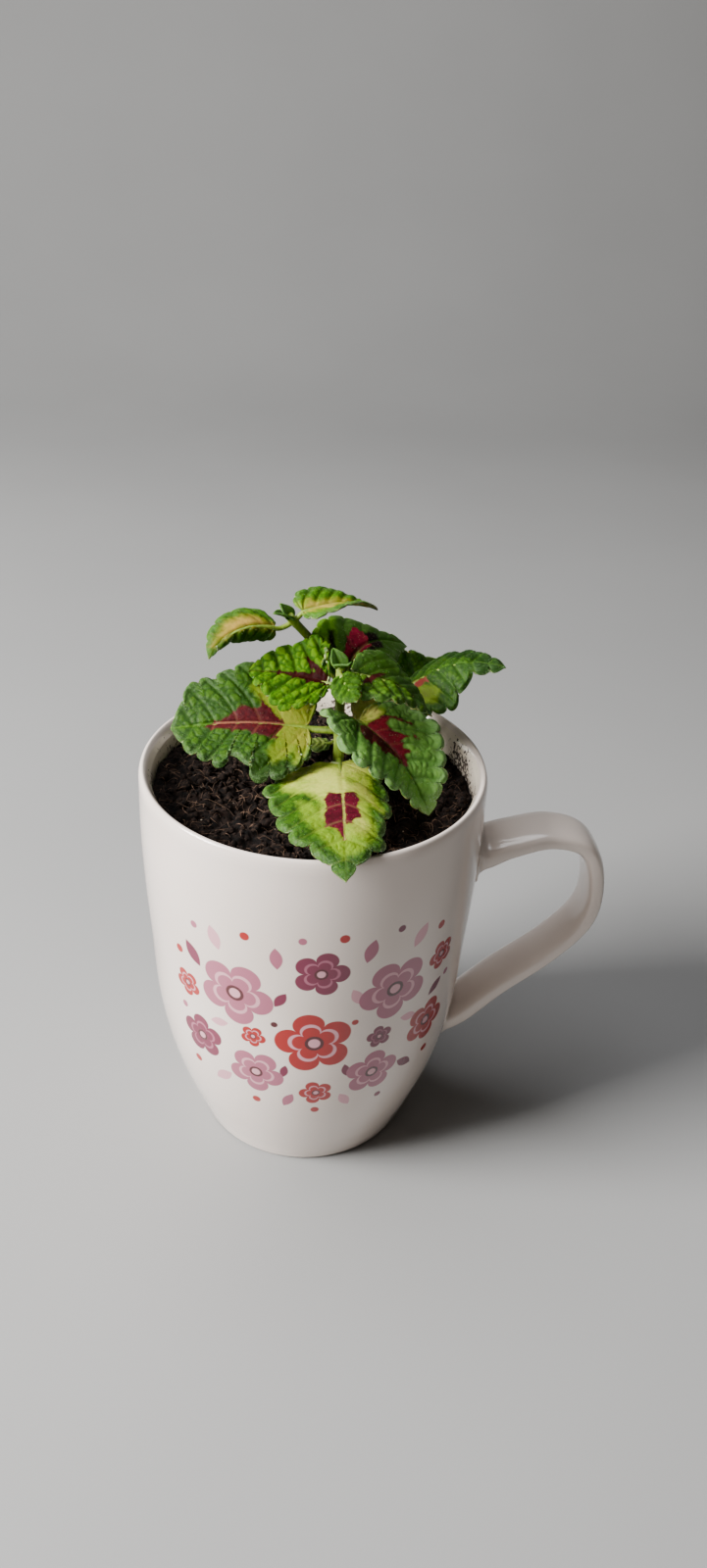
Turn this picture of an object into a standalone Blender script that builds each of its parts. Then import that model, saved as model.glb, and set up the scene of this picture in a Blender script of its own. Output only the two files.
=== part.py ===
# A young coleus growing in a white ceramic mug.
# The origin is the centre of the mug's foot, +X runs to the handle and +Y is the plant's back.
# Lengths in the tables are millimetres and angles are degrees.

import math

import bmesh
import bpy
from mathutils import Vector

MM = 0.001
FIT_GAP = 0.3
SEAT_GAP = 0.4

# Mug: radius and height along the outer wall, from the rim down to the foot
MUG_HEIGHT = 110.0
MUG_OUTSIDE = [(43.0, 108.4), (43.2, 93.5), (42.7, 77.0), (41.7, 60.5), (40.8, 44.0),
               (38.8, 30.8), (36.1, 19.8), (33.2, 11.0), (31.2, 5.5), (29.8, 1.6), (28.9, 0.0)]
MUG_LIP = [(40.9, 108.8), (41.4, 109.6), (42.0, MUG_HEIGHT), (42.6, 109.6)]
WALL = 3.2
FLOOR_TOP = 5.5
FLOOR_RADIUS = 24.0
FOOT_RING_INSIDE = 24.0
FOOT_RECESS = 0.8
FOOT_BEVEL = 0.6
MUG_SIDES = 48
WALL_LEVELS = (98.0, 77.0, 60.5, 44.0, 30.8, 19.8, 11.0)

# Handle: centreline in the XZ plane, half thickness at each point, half width
HANDLE_LINE = [(40.9, 83.4), (45.0, 84.2), (51.5, 86.7), (62.0, 89.0), (71.2, 85.9), (75.3, 76.2),
               (74.7, 63.0), (66.0, 51.2), (52.8, 39.6), (43.0, 29.8), (36.3, 25.6)]
HANDLE_HALF_THICKNESS = [4.1, 3.7, 3.0, 2.6, 2.5, 2.5, 2.5, 2.6, 2.8, 3.0, 2.6]
HANDLE_HALF_WIDTH = [8.0, 7.7, 7.3, 7.0, 6.8, 6.7, 6.7, 6.8, 7.0, 7.2, 7.2]
HANDLE_SIDES = 12
HANDLE_ROUNDNESS = 0.7
HANDLE_RINGS = 18

# Soil: it fills the mug to just under the rim and slopes a little to the handle side
SOIL_LEVEL = 102.3
SOIL_SLOPE = -0.03
SOIL_LUMP = 0.45
SOIL_RINGS = 7
SOIL_SIDE_GAP = 0.35
HOLE_SIDES = 12

# Stems: points up the centreline, with the radius at the foot and at the tip
STEM_FOOT = 72.0
STEM_SIDES = 8
STEM_RINGS = 31
NODE_SWELL = 1.12
BUD_SHARE = 0.99
STEMS = {
    "stem_main": {
        "line": [(5.7, -2.4, STEM_FOOT), (5.7, -2.4, 98.0), (5.7, -2.0, 112.0), (5.6, -1.2, 120.0),
                 (5.6, 0.3, 131.0), (5.7, 0.5, 136.0)],
        "radius": (1.5, 1.1),
        "buds": [{"heading": 115, "rise": 50, "length": 5.5}, {"heading": -70, "rise": 48, "length": 5.0}],
    },
    "stem_back": {
        "line": [(7.7, 19.5, STEM_FOOT), (7.7, 19.5, 98.0), (7.6, 19.2, 112.0), (6.8, 18.8, 122.0),
                 (1.5, 19.2, 131.2), (-6.3, 14.5, 142.3)],
        "radius": (1.3, 1.05),
        "buds": [{"heading": 215, "rise": 42, "length": 6.0}, {"heading": 150, "rise": 62, "length": 4.5}],
    },
}

# Half outline of a coleus blade: share of the length, share of the half width. Its teeth are
# rounded, differ by a spread from one to the next, and fade out towards the leaf's base
OUTLINE = [(0.0, 0.0), (-0.05, 0.30), (-0.02, 0.62), (0.12, 0.92), (0.30, 1.0), (0.50, 0.86),
           (0.70, 0.56), (0.87, 0.25), (1.0, 0.0)]
TOOTH_DEPTH = 0.145
TOOTH_SPREAD = 0.25
TOOTH_STRIDE = (2.6, 1.7)
NOTCH_DEPTH = 0.6
TOOTH_FADE = 0.2
TOOTH_START = 0.35
MARGIN_STEP = 0.01
ROWS_PER_TOOTH = 3
COLUMNS = (0.0, 0.36, 0.72, 1.0)
SMALL_COLUMNS = (0.0, 0.5, 1.0)
SMALL_WIDTH = 8.5
BLADE_THICKNESS = 0.75
QUILT_HEIGHT = 0.55
ROW_LEAN = 1.35
MIDRIB_STEPS = 40
PETIOLE_SIDES = 6
RIB_RINGS = 6

# Every leaf: where its stem carries it, where its blade starts, which way it points, how its
# midrib bends, how its left and right halves fold at the midrib and curl towards the margin
LEAF_BASICS = {"turn": 0, "roll": 0, "twist": 0, "fold": (0, 0), "curl": (-20, -20),
               "lobe": (0.0, 0.0), "full": (0.0, 0.0), "waist": (0.0, 0.0), "skew": 0.0,
               "teeth": 8, "tooth_depth": TOOTH_DEPTH, "petiole": 0.85, "stem": "stem_main",
               "quilt": 1.0, "thickness": BLADE_THICKNESS, "blunt": (0.04, 0.04)}
BUD_LEAF = {"droop": 30, "fold": (14, 14), "curl": (-8, -8), "teeth": 2, "tooth_depth": 0.0,
            "quilt": 0.0, "half_width": 2.3, "thickness": 0.6, "blunt": (0.0, 0.0)}
LEAVES = {
    "leaf_front": {
        "joint_height": 112.2, "base": (5.8, -5.6, 112.7), "heading": -91, "rise": 8, "droop": 20,
        "turn": -2, "twist": 2, "length": 46.0, "half_width": 14.5, "fold": (-3, 0),
        "curl": (-34, -9), "lobe": (0.03, -0.07), "full": (0.19, 0.09), "skew": -0.21, "teeth": 9,
        "blunt": (-0.04, -0.04), "color": (0.42, 0.58, 0.12),
    },
    "leaf_left": {
        "joint_height": 119.4, "base": (-2.1, 0.5, 119.5), "heading": 175, "rise": 7, "droop": 22,
        "roll": 2, "twist": -5, "length": 33.5, "half_width": 17.6, "fold": (-12, 41),
        "curl": (-22, -27), "full": (0.12, 0.15), "waist": (0.26, 0.0), "skew": -0.03, "teeth": 9,
        "blunt": (0.12, 0.22), "tooth_depth": 0.11, "color": (0.15, 0.33, 0.08),
    },
    "leaf_right": {
        "joint_height": 121.2, "base": (10.2, -2.3, 122.7), "heading": -42, "rise": -9, "droop": 50,
        "turn": -11, "roll": -5, "twist": 14, "length": 29.5, "half_width": 15.3,
        "fold": (16, 26), "curl": (-15, -22), "lobe": (0.0, 0.16), "full": (0.02, -0.06),
        "teeth": 9, "color": (0.16, 0.34, 0.08),
    },
    "leaf_back": {
        "joint_height": 113.4, "base": (10.3, 7.0, 117.0), "heading": 48, "rise": 2, "droop": -2,
        "turn": 5, "roll": 4, "twist": 3, "length": 41.0, "half_width": 14.0, "fold": (34, 20),
        "curl": (-14, -14), "lobe": (-0.19, 0.0), "full": (0.14, -0.03), "skew": 0.03, "teeth": 9,
        "quilt": 0.8, "tooth_depth": 0.11, "color": (0.20, 0.30, 0.10),
    },
    "leaf_upper_left": {
        "joint_height": 130.9, "base": (2.9, 0.7, 131.3), "heading": 154, "rise": 5, "droop": 20,
        "turn": -2, "roll": -5, "twist": -7, "length": 21.8, "half_width": 11.7,
        "fold": (4, 30), "curl": (-21, -14), "lobe": (0.0, -0.15), "full": (-0.06, 0.03),
        "quilt": 1.3, "tooth_depth": 0.11, "color": (0.22, 0.45, 0.07),
    },
    "leaf_upper_right": {
        "joint_height": 133.6, "base": (8.3, 0.1, 134.3), "heading": -16, "rise": 10, "droop": 66,
        "turn": -2, "roll": -8, "twist": -34, "length": 23.0, "half_width": 10.4,
        "fold": (20, -18), "curl": (-6, -12), "lobe": (-0.03, 0.0), "skew": 0.03, "quilt": 1.3,
        "color": (0.18, 0.38, 0.08),
    },
    "leaf_upper_back": {
        "joint_height": 127.6, "base": (6.9, 8.2, 128.0), "heading": 76, "rise": 27, "droop": 63,
        "turn": -46, "roll": -5, "twist": -10, "length": 34.5, "half_width": 11.9,
        "fold": (38, -34), "curl": (6, -20), "lobe": (-0.12, 0.0), "full": (-0.24, 0.0),
        "teeth": 9,
        "color": (0.06, 0.15, 0.05),
    },
    "leaf_small_front": {
        "joint_height": 134.6, "base": (5.3, -4.6, 136.1), "heading": -73, "rise": -14, "droop": -8,
        "roll": 12, "twist": 5, "length": 10.2, "half_width": 4.2, "fold": (-9, -20),
        "curl": (-20, -24), "full": (0.0, 0.12), "skew": -0.08, "teeth": 5, "petiole": 0.55,
        "quilt": 0.6, "color": (0.17, 0.36, 0.10),
    },
    "leaf_far_right": {
        "stem": "stem_back", "joint_height": 124.4, "base": (24.2, 14.1, 123.6), "heading": -10,
        "rise": 52, "droop": 66, "turn": -6, "roll": 4, "twist": 8, "length": 26.5,
        "half_width": 11.8, "fold": (-2, -22), "curl": (-38, -32), "full": (0.0, -0.25),
        "color": (0.16, 0.33, 0.10),
    },
    "leaf_far_left": {
        "stem": "stem_back", "joint_height": 124.6, "base": (-1.0, 21.5, 125.0), "heading": 112,
        "rise": 14, "droop": 35, "length": 15.5, "half_width": 6.8, "fold": (8, 8), "teeth": 7,
        "petiole": 0.7, "quilt": 0.8, "color": (0.10, 0.24, 0.06),
    },
    "leaf_top_left": {
        "stem": "stem_back", "joint_height": 140.8, "base": (-9.9, 13.9, 139.8), "heading": 200,
        "rise": 27, "droop": 94, "roll": -10, "twist": -12, "length": 20.2, "half_width": 6.9,
        "fold": (-42, 15), "curl": (-118, -24), "full": (-0.3, 0.08), "skew": -0.06, "teeth": 7,
        "petiole": 0.6, "quilt": 0.6, "color": (0.24, 0.38, 0.08),
    },
    "leaf_top_right": {
        "stem": "stem_back", "joint_height": 140.7, "base": (-2.9, 15.3, 143.4), "heading": 18,
        "rise": 19, "droop": 48, "turn": -4, "roll": 5, "twist": -30, "length": 20.3,
        "half_width": 8.0, "fold": (24, 10), "curl": (-18, 0), "teeth": 7, "petiole": 0.6,
        "quilt": 0.6, "color": (0.30, 0.45, 0.12),
    },
    "leaf_at_soil": {
        "stem": "stem_back", "joint_height": 105.0, "base": (4.6, 18.2, 104.8), "heading": 176,
        "rise": 6, "droop": 22, "length": 9.0, "half_width": 3.6, "teeth": 5, "petiole": 0.5,
        "quilt": 0.5, "color": (0.48, 0.56, 0.30),
    },
}


def clear_scene():
    for thing in list(bpy.data.objects):
        bpy.data.objects.remove(thing, do_unlink=True)


def material(name, color, roughness, coat=0.0):
    surface = bpy.data.materials.new(name)
    surface.use_nodes = True
    shader = surface.node_tree.nodes["Principled BSDF"]
    shader.inputs["Base Color"].default_value = (*color, 1.0)
    shader.inputs["Roughness"].default_value = roughness
    shader.inputs["Metallic"].default_value = 0.0
    shader.inputs["Coat Weight"].default_value = coat
    return surface


# One object from points in millimetres and faces
def add_object(name, points, faces, surface, smooth_angle=50):
    mesh = bpy.data.meshes.new(name)
    mesh.from_pydata([tuple(Vector(point) * MM) for point in points], [], faces)
    mesh.validate()
    body = bmesh.new()
    body.from_mesh(mesh)
    bmesh.ops.recalc_face_normals(body, faces=body.faces)
    body.to_mesh(mesh)
    body.free()
    mesh.shade_smooth()
    mesh.set_sharp_from_angle(angle=math.radians(smooth_angle))
    mesh.materials.append(surface)
    thing = bpy.data.objects.new(name, mesh)
    bpy.context.collection.objects.link(thing)
    return thing


# Joins or cuts with another object, which is then removed
def combine(thing, other, operation):
    modifier = thing.modifiers.new(operation.lower(), "BOOLEAN")
    modifier.operation = operation
    modifier.solver = "EXACT"
    modifier.object = other
    bpy.context.view_layer.update()
    evaluated = thing.evaluated_get(bpy.context.evaluated_depsgraph_get())
    joined = bpy.data.meshes.new_from_object(evaluated)
    thing.modifiers.clear()
    thing.data = joined
    bpy.data.objects.remove(other, do_unlink=True)


# A smooth curve through points of any dimension, read at a share of its length
class SmoothCurve:
    def __init__(self, points):
        self.points = [Vector(point) for point in points]
        steps = [(b - a).length for a, b in zip(self.points, self.points[1:])]
        self.marks = [0.0]
        for step in steps:
            self.marks.append(self.marks[-1] + math.sqrt(step))
        self.marks = [mark / self.marks[-1] for mark in self.marks]

    def slope(self, index):
        low = max(index - 1, 0)
        high = min(index + 1, len(self.points) - 1)
        return (self.points[high] - self.points[low]) / (self.marks[high] - self.marks[low])

    def at(self, share):
        last = len(self.marks) - 2
        index = next((i for i in range(last + 1) if share <= self.marks[i + 1]), last)
        width = self.marks[index + 1] - self.marks[index]
        part = (share - self.marks[index]) / width
        start, end = self.points[index], self.points[index + 1]
        start_slope, end_slope = self.slope(index) * width, self.slope(index + 1) * width
        square, cube = part ** 2, part ** 3
        return (start * (2 * cube - 3 * square + 1) + start_slope * (cube - 2 * square + part)
                + end * (3 * square - 2 * cube) + end_slope * (cube - square))


# Rings of equal size become a closed tube with flat ends
def tube_faces(ring_count, sides):
    faces = [list(range(sides)), [(ring_count - 1) * sides + i for i in reversed(range(sides))]]
    for ring in range(ring_count - 1):
        for side in range(sides):
            after = (side + 1) % sides
            low, high = ring * sides, (ring + 1) * sides
            faces.append([low + side, high + side, high + after])
            faces.append([low + side, high + after, low + after])
    return faces


# A tube along a line of points, each with its own radius
def tube_points(line, radii, sides):
    points = []
    across = None
    for index, centre in enumerate(line):
        before = line[max(index - 1, 0)]
        after = line[min(index + 1, len(line) - 1)]
        along = (after - before).normalized()
        if across is None:
            across = along.orthogonal().normalized()
        across = (across - along * across.dot(along)).normalized()
        up = along.cross(across)
        for side in range(sides):
            turn = 2 * math.pi * side / sides
            points.append(centre + (across * math.cos(turn) + up * math.sin(turn)) * radii[index])
    return points


# Radius of the mug's inner wall at a height
def inner_radius(height):
    if height >= MUG_LIP[0][1]:
        return MUG_LIP[0][0]
    outside = [(radius, level) for radius, level in MUG_OUTSIDE if level > FLOOR_TOP]
    profile = [(radius - WALL, level) for radius, level in outside]
    profile[0] = MUG_LIP[0]
    profile.append((FLOOR_RADIUS, FLOOR_TOP))
    for (upper_radius, upper), (lower_radius, lower) in zip(profile, profile[1:]):
        if lower <= height <= upper:
            part = (height - lower) / (upper - lower)
            return lower_radius + part * (upper_radius - lower_radius)
    return FLOOR_RADIUS


# Turns a profile of radius and height about the Z axis; a radius of zero closes the shape
def turned(profile, sides):
    points, rings = [], []
    for radius, height in profile:
        if radius == 0.0:
            rings.append([len(points)] * sides)
            points.append((0.0, 0.0, height))
            continue
        rings.append([len(points) + i for i in range(sides)])
        for side in range(sides):
            turn = 2 * math.pi * side / sides
            points.append((radius * math.cos(turn), radius * math.sin(turn), height))
    faces = []
    for low, high in zip(rings, rings[1:]):
        for side in range(sides):
            after = (side + 1) % sides
            corners = [low[side], high[side], high[after], low[after]]
            corners = [corner for i, corner in enumerate(corners) if corner not in corners[:i]]
            faces.append(corners)
    return points, faces


def build_mug():
    glaze = material("white_glaze", (0.82, 0.79, 0.75), 0.18, 0.6)
    inside = [(inner_radius(level), level) for level in WALL_LEVELS]
    inside.reverse()
    profile = [(0.0, FLOOR_TOP), (FLOOR_RADIUS, FLOOR_TOP), *inside, *MUG_LIP, *MUG_OUTSIDE,
               (FOOT_RING_INSIDE, 0.0), (FOOT_RING_INSIDE - FOOT_BEVEL, FOOT_RECESS), (0.0, FOOT_RECESS)]
    points, faces = turned(profile, MUG_SIDES)
    mug = add_object("mug", points, faces, glaze)
    combine(mug, build_handle(glaze), "UNION")
    mug.data.shade_smooth()
    mug.data.set_sharp_from_angle(angle=math.radians(50))


def build_handle(glaze):
    centre = SmoothCurve([(x, z, 0.0) for x, z in HANDLE_LINE])
    sizes = SmoothCurve([(a, b, 0.0) for a, b in zip(HANDLE_HALF_THICKNESS, HANDLE_HALF_WIDTH)])
    sizes.marks = centre.marks
    points = []
    for ring in range(HANDLE_RINGS):
        share = ring / (HANDLE_RINGS - 1)
        x, z, _ = centre.at(share)
        ahead = centre.at(min(share + 0.01, 1.0)) - centre.at(max(share - 0.01, 0.0))
        normal = Vector((-ahead.y, 0.0, ahead.x)).normalized()
        thick, wide, _ = sizes.at(share)
        for side in range(HANDLE_SIDES):
            turn = 2 * math.pi * side / HANDLE_SIDES
            out = math.copysign(abs(math.cos(turn)) ** HANDLE_ROUNDNESS, math.cos(turn))
            across = math.copysign(abs(math.sin(turn)) ** HANDLE_ROUNDNESS, math.sin(turn))
            points.append(Vector((x, 0.0, z)) + normal * thick * out
                          + Vector((0.0, wide * across, 0.0)))
    return add_object("handle", points, tube_faces(HANDLE_RINGS, HANDLE_SIDES), glaze)


# Height of the soil: lumps of a few sizes on a gentle slope
def soil_height(x, y):
    lumps = (math.sin(0.55 * x + 1.3) * math.cos(0.48 * y - 0.6)
             + 0.7 * math.sin(0.93 * x - 0.8 * y + 0.4)
             + 0.5 * math.cos(1.45 * x + 1.1 * y) * math.sin(1.2 * y - 0.7 * x + 2.0))
    return SOIL_LEVEL + SOIL_SLOPE * x + SOIL_LUMP * lumps


def build_soil():
    dark = material("potting_soil", (0.035, 0.022, 0.017), 0.95)
    bottom = FLOOR_TOP + FIT_GAP
    levels = [bottom, *reversed(WALL_LEVELS)]
    side_profile = [(inner_radius(level) - SOIL_SIDE_GAP, level) for level in levels]
    side_profile[0] = (FLOOR_RADIUS - FIT_GAP, bottom)
    points, faces = turned([(0.0, bottom), *side_profile], MUG_SIDES)
    outer_radius = side_profile[-1][0]
    last_ring = [len(points) - MUG_SIDES + i for i in range(MUG_SIDES)]
    for ring in range(SOIL_RINGS, 0, -1):
        radius = outer_radius * ring / SOIL_RINGS
        new_ring = [len(points) + i for i in range(MUG_SIDES)]
        for side in range(MUG_SIDES):
            turn = 2 * math.pi * side / MUG_SIDES
            x, y = radius * math.cos(turn), radius * math.sin(turn)
            points.append((x, y, soil_height(x, y)))
        for side in range(MUG_SIDES):
            after = (side + 1) % MUG_SIDES
            faces.append([last_ring[side], new_ring[side], new_ring[after]])
            faces.append([last_ring[side], new_ring[after], last_ring[after]])
        last_ring = new_ring
    points.append((0.0, 0.0, soil_height(0.0, 0.0)))
    for side in range(MUG_SIDES):
        faces.append([last_ring[side], len(points) - 1, last_ring[(side + 1) % MUG_SIDES]])
    soil = add_object("soil", points, faces, dark)
    for name, stem in STEMS.items():
        x, y, _ = stem["line"][0]
        radius = stem["radius"][0] + SEAT_GAP
        hole_line = [Vector((x, y, STEM_FOOT - FIT_GAP)), Vector((x, y, MUG_HEIGHT))]
        hole = tube_points(hole_line, [radius, radius], HOLE_SIDES)
        cutter = add_object(name + "_hole", hole, tube_faces(2, HOLE_SIDES), dark)
        combine(soil, cutter, "DIFFERENCE")


# Radius of a stem at a share of its length, a little thicker at the joints
def stem_radius(stem, share):
    foot, tip = stem["radius"]
    return foot + (tip - foot) * share


# The stem's centre, direction and radius at a height
def stem_point(stem, height):
    curve = SmoothCurve(stem["line"])
    shares = [i / 400 for i in range(401)]
    share = min(shares, key=lambda value: abs(curve.at(value).z - height))
    along = (curve.at(share) - curve.at(share - 0.01)).normalized()
    return curve.at(share), along, stem_radius(stem, share) * NODE_SWELL


def build_stems():
    green = material("stem_green", (0.28, 0.40, 0.13), 0.5)
    for name, stem in STEMS.items():
        curve = SmoothCurve(stem["line"])
        joints = [leaf["joint_height"] for leaf in LEAVES.values()
                  if leaf.get("stem", "stem_main") == name]
        line, radii = [], []
        for ring in range(STEM_RINGS):
            share = ring / (STEM_RINGS - 1)
            centre = curve.at(share)
            near = min(abs(centre.z - joint) for joint in joints)
            swell = 1.0 + (NODE_SWELL - 1.0) * max(0.0, 1.0 - near / 2.0)
            line.append(centre)
            radii.append(stem_radius(stem, share) * swell)
        points = tube_points(line, radii, STEM_SIDES)
        body = add_object(name, points, tube_faces(len(line), STEM_SIDES), green)
        for index, bud in enumerate(stem["buds"]):
            leaf = {**LEAF_BASICS, **BUD_LEAF, **bud, "base": tuple(curve.at(BUD_SHARE))}
            leaflet = build_blade(f"{name}_bud_{index}", leaf, green)
            combine(body, leaflet, "UNION")


# The midrib of a leaf: points, forward, left and up directions at even steps
class Midrib:
    def __init__(self, leaf):
        self.leaf = leaf
        self.frames = []
        point = Vector(leaf["base"])
        for step in range(MIDRIB_STEPS + 1):
            share = step / MIDRIB_STEPS
            heading = math.radians(leaf["heading"] + leaf["turn"] * share)
            pitch = math.radians(leaf["rise"] - leaf["droop"] * share)
            forward = Vector((math.cos(heading) * math.cos(pitch),
                              math.sin(heading) * math.cos(pitch), math.sin(pitch)))
            left = Vector((-math.sin(heading), math.cos(heading), 0.0))
            up = forward.cross(left)
            roll = math.radians(leaf["roll"] + leaf["twist"] * share)
            tilted_left = left * math.cos(roll) + up * math.sin(roll)
            tilted_up = up * math.cos(roll) - left * math.sin(roll)
            if step:
                half_step = leaf["length"] / MIDRIB_STEPS / 2
                point = point + (self.frames[-1][1] + forward) * half_step
            self.frames.append((point, forward, tilted_left, tilted_up))

    # Frame at a distance along the midrib; behind the base it runs straight back
    def frame(self, distance):
        place = max(0.0, min(distance / self.leaf["length"], 1.0)) * MIDRIB_STEPS
        index = min(int(place), MIDRIB_STEPS - 1)
        part = place - index
        mixed = [a.lerp(b, part) for a, b in zip(self.frames[index], self.frames[index + 1])]
        mixed[0] = mixed[0] + mixed[1] * min(distance, 0.0)
        return mixed

    # A flat leaf position, forward and across, laid on the bent and folded blade
    def place(self, distance, across, lift=0.0):
        leaf = self.leaf
        point, _, left, up = self.frame(distance)
        side = 0 if across >= 0 else 1
        fold = math.radians(leaf["fold"][side])
        bend = math.radians(leaf["curl"][side]) / leaf["half_width"]
        bend = bend if abs(bend) > 1e-6 else 1e-6
        width = abs(across)
        outward = (math.sin(fold + bend * width) - math.sin(fold)) / bend
        upward = (math.cos(fold) - math.cos(fold + bend * width)) / bend
        sign = 1.0 if side == 0 else -1.0
        tilt = fold + bend * width
        outward -= lift * math.sin(tilt)
        upward += lift * math.cos(tilt)
        return point + left * outward * sign + up * upward


# Margin position for a share of the way from base to tip, before the teeth
def margin(leaf, share, side):
    x, y = OUTLINE_CURVE.at(share).xy
    swell = math.exp(-((x - 0.72) / 0.16) ** 2) if x > 0 else 0.0
    y += leaf["full"][side] * swell - leaf["waist"][side] * math.exp(-((x - 0.5) / 0.1) ** 2)
    y += leaf["blunt"][side] * math.sin(math.pi * max(0.0, min((x - 0.7) / 0.3, 1.0)))
    x -= leaf["lobe"][side] * math.exp(-((share - 0.24) / 0.17) ** 2)
    skew = 1.0 + leaf["skew"] * (1 if side == 0 else -1)
    return Vector((x * leaf["length"], y * leaf["half_width"] * skew))


# Rounded tooth height for a share of the way along the margin, below 0 in a notch
def tooth(leaf, share, side):
    number, phase = divmod(share * leaf["teeth"], 1.0)
    by_number, by_side = TOOTH_STRIDE
    uneven = 1.0 + TOOTH_SPREAD * math.sin(by_number * number + by_side * side + leaf["length"])
    return math.sqrt(max(0.0, 1.0 - (2.0 * phase - 1.0) ** 2)) * uneven - NOTCH_DEPTH


# Margin position with its teeth, which stand out along the margin's own normal
def toothed_margin(leaf, share, side):
    edge = margin(leaf, share, side)
    ahead = margin(leaf, min(share + MARGIN_STEP, 1.0), side)
    along = ahead - margin(leaf, max(share - MARGIN_STEP, 0.0), side)
    outward = Vector((-along.y, along.x)).normalized()
    fade = min(1.0, edge.y / (TOOTH_FADE * leaf["half_width"]), (share / TOOTH_START) ** 2)
    depth = leaf["tooth_depth"] * leaf["half_width"] * tooth(leaf, share, side)
    edge += outward * depth * fade
    return edge.x, max(edge.y, 0.0)


# One point of the blade: row share from base to tip, column share from midrib to margin
def blade_point(leaf, midrib, share, column, side):
    x, y = toothed_margin(leaf, share, side)
    breadth = min(1.0, y / (0.45 * leaf["half_width"]))
    start = leaf["length"] * share ** ROW_LEAN
    forward = start + (x - start) * column
    pad = 0.5 - 0.5 * math.cos(2.0 * math.pi * share * leaf["teeth"])
    lift = QUILT_HEIGHT * leaf["quilt"] * pad * breadth ** 2 * math.sin(math.pi * 0.8 * column)
    return midrib.place(forward, y * column * (1 if side == 0 else -1), lift)


# A waved blade of even thickness, with the same triangles on both faces
def build_blade(name, leaf, surface):
    midrib = Midrib(leaf)
    steps = leaf["teeth"] * ROWS_PER_TOOTH
    shares = [0.0] + [step / steps for step in range(2, steps - 1)] + [1.0]
    rows = len(shares) - 1
    columns = SMALL_COLUMNS if leaf["half_width"] < SMALL_WIDTH else COLUMNS
    base_point = midrib.place(0.0, 0.0)
    tip_point = midrib.place(leaf["length"], 0.0)
    top = [base_point, tip_point]
    grid = {}
    for row in range(1, rows):
        for side in (0, 1):
            for index, column in enumerate(columns):
                if index == 0 and side == 1:
                    grid[row, side, index] = grid[row, 0, 0]
                    continue
                grid[row, side, index] = len(top)
                top.append(blade_point(leaf, midrib, shares[row], column, side))
    for side in (0, 1):
        for index in range(len(columns)):
            grid[0, side, index] = 0
            grid[rows, side, index] = 1
    triangles = []
    for side in (0, 1):
        for row in range(rows):
            for index in range(len(columns) - 1):
                a, b = grid[row, side, index], grid[row + 1, side, index]
                c, d = grid[row + 1, side, index + 1], grid[row, side, index + 1]
                pair = [(a, b, c), (a, c, d)]
                if side == 1:
                    pair = [(a, c, b), (a, d, c)]
                triangles += [corners for corners in pair if len(set(corners)) == 3]
    normals = [Vector() for _ in top]
    for a, b, c in triangles:
        facing = (top[b] - top[a]).cross(top[c] - top[a])
        for corner in (a, b, c):
            normals[corner] += facing
    count = len(top)
    points = top + [point - normal.normalized() * leaf["thickness"]
                    for point, normal in zip(top, normals)]
    faces = list(triangles) + [(a + count, c + count, b + count) for a, b, c in triangles]
    last = len(columns) - 1
    rim = [grid[row, 0, last] for row in range(rows + 1)]
    rim += [grid[row, 1, last] for row in range(rows - 1, 0, -1)]
    for here, after in zip(rim, rim[1:] + rim[:1]):
        faces.append((here, after, after + count))
        faces.append((here, after + count, here + count))
    return add_object(name, points, faces, surface)


# The stalk from the stem, running on under the blade as its raised midrib
def build_petiole(name, leaf, surface):
    midrib = Midrib(leaf)
    stem_centre, along, seat_radius = stem_point(STEMS[leaf["stem"]], leaf["joint_height"])
    thick = leaf["petiole"]
    sink = 0.2 + thick
    base, forward, _, up = midrib.frame(0.0)
    base = base - up * sink
    away = base - stem_centre
    away = (away - along * away.dot(along)).normalized()
    start = stem_centre + away * (seat_radius + SEAT_GAP)
    span = (base - start).length
    pull_start = start + away * span * 0.35
    pull_end = base - forward * span * 0.35
    line, radii = [], []
    stalk_rings = max(2, min(6, round(span / 1.6)))
    for step in range(stalk_rings):
        share = step / stalk_rings
        rest = 1.0 - share
        line.append(start * rest ** 3 + pull_start * 3 * rest ** 2 * share
                    + pull_end * 3 * rest * share ** 2 + base * share ** 3)
        radii.append(thick * (1.15 - 0.15 * share))
    for step in range(RIB_RINGS):
        share = step / (RIB_RINGS - 1)
        radius = thick + (0.3 - thick) * share
        point, _, _, up = midrib.frame(leaf["length"] * 0.8 * share)
        line.append(point - up * (0.2 + radius))
        radii.append(radius)
    points = tube_points(line, radii, PETIOLE_SIDES)
    return add_object(name, points, tube_faces(len(line), PETIOLE_SIDES), surface)


def build_leaves():
    for name, differences in LEAVES.items():
        leaf = {**LEAF_BASICS, **differences}
        surface = material(name + "_surface", leaf["color"], 0.5)
        blade = build_blade(name, leaf, surface)
        combine(blade, build_petiole(name + "_petiole", leaf, surface), "UNION")


OUTLINE_CURVE = SmoothCurve([(x, y, 0.0) for x, y in OUTLINE])

clear_scene()
build_mug()
build_soil()
build_stems()
build_leaves()
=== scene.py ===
import math
import random
from functools import reduce

import bpy
from mathutils import Matrix, Vector, noise


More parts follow.
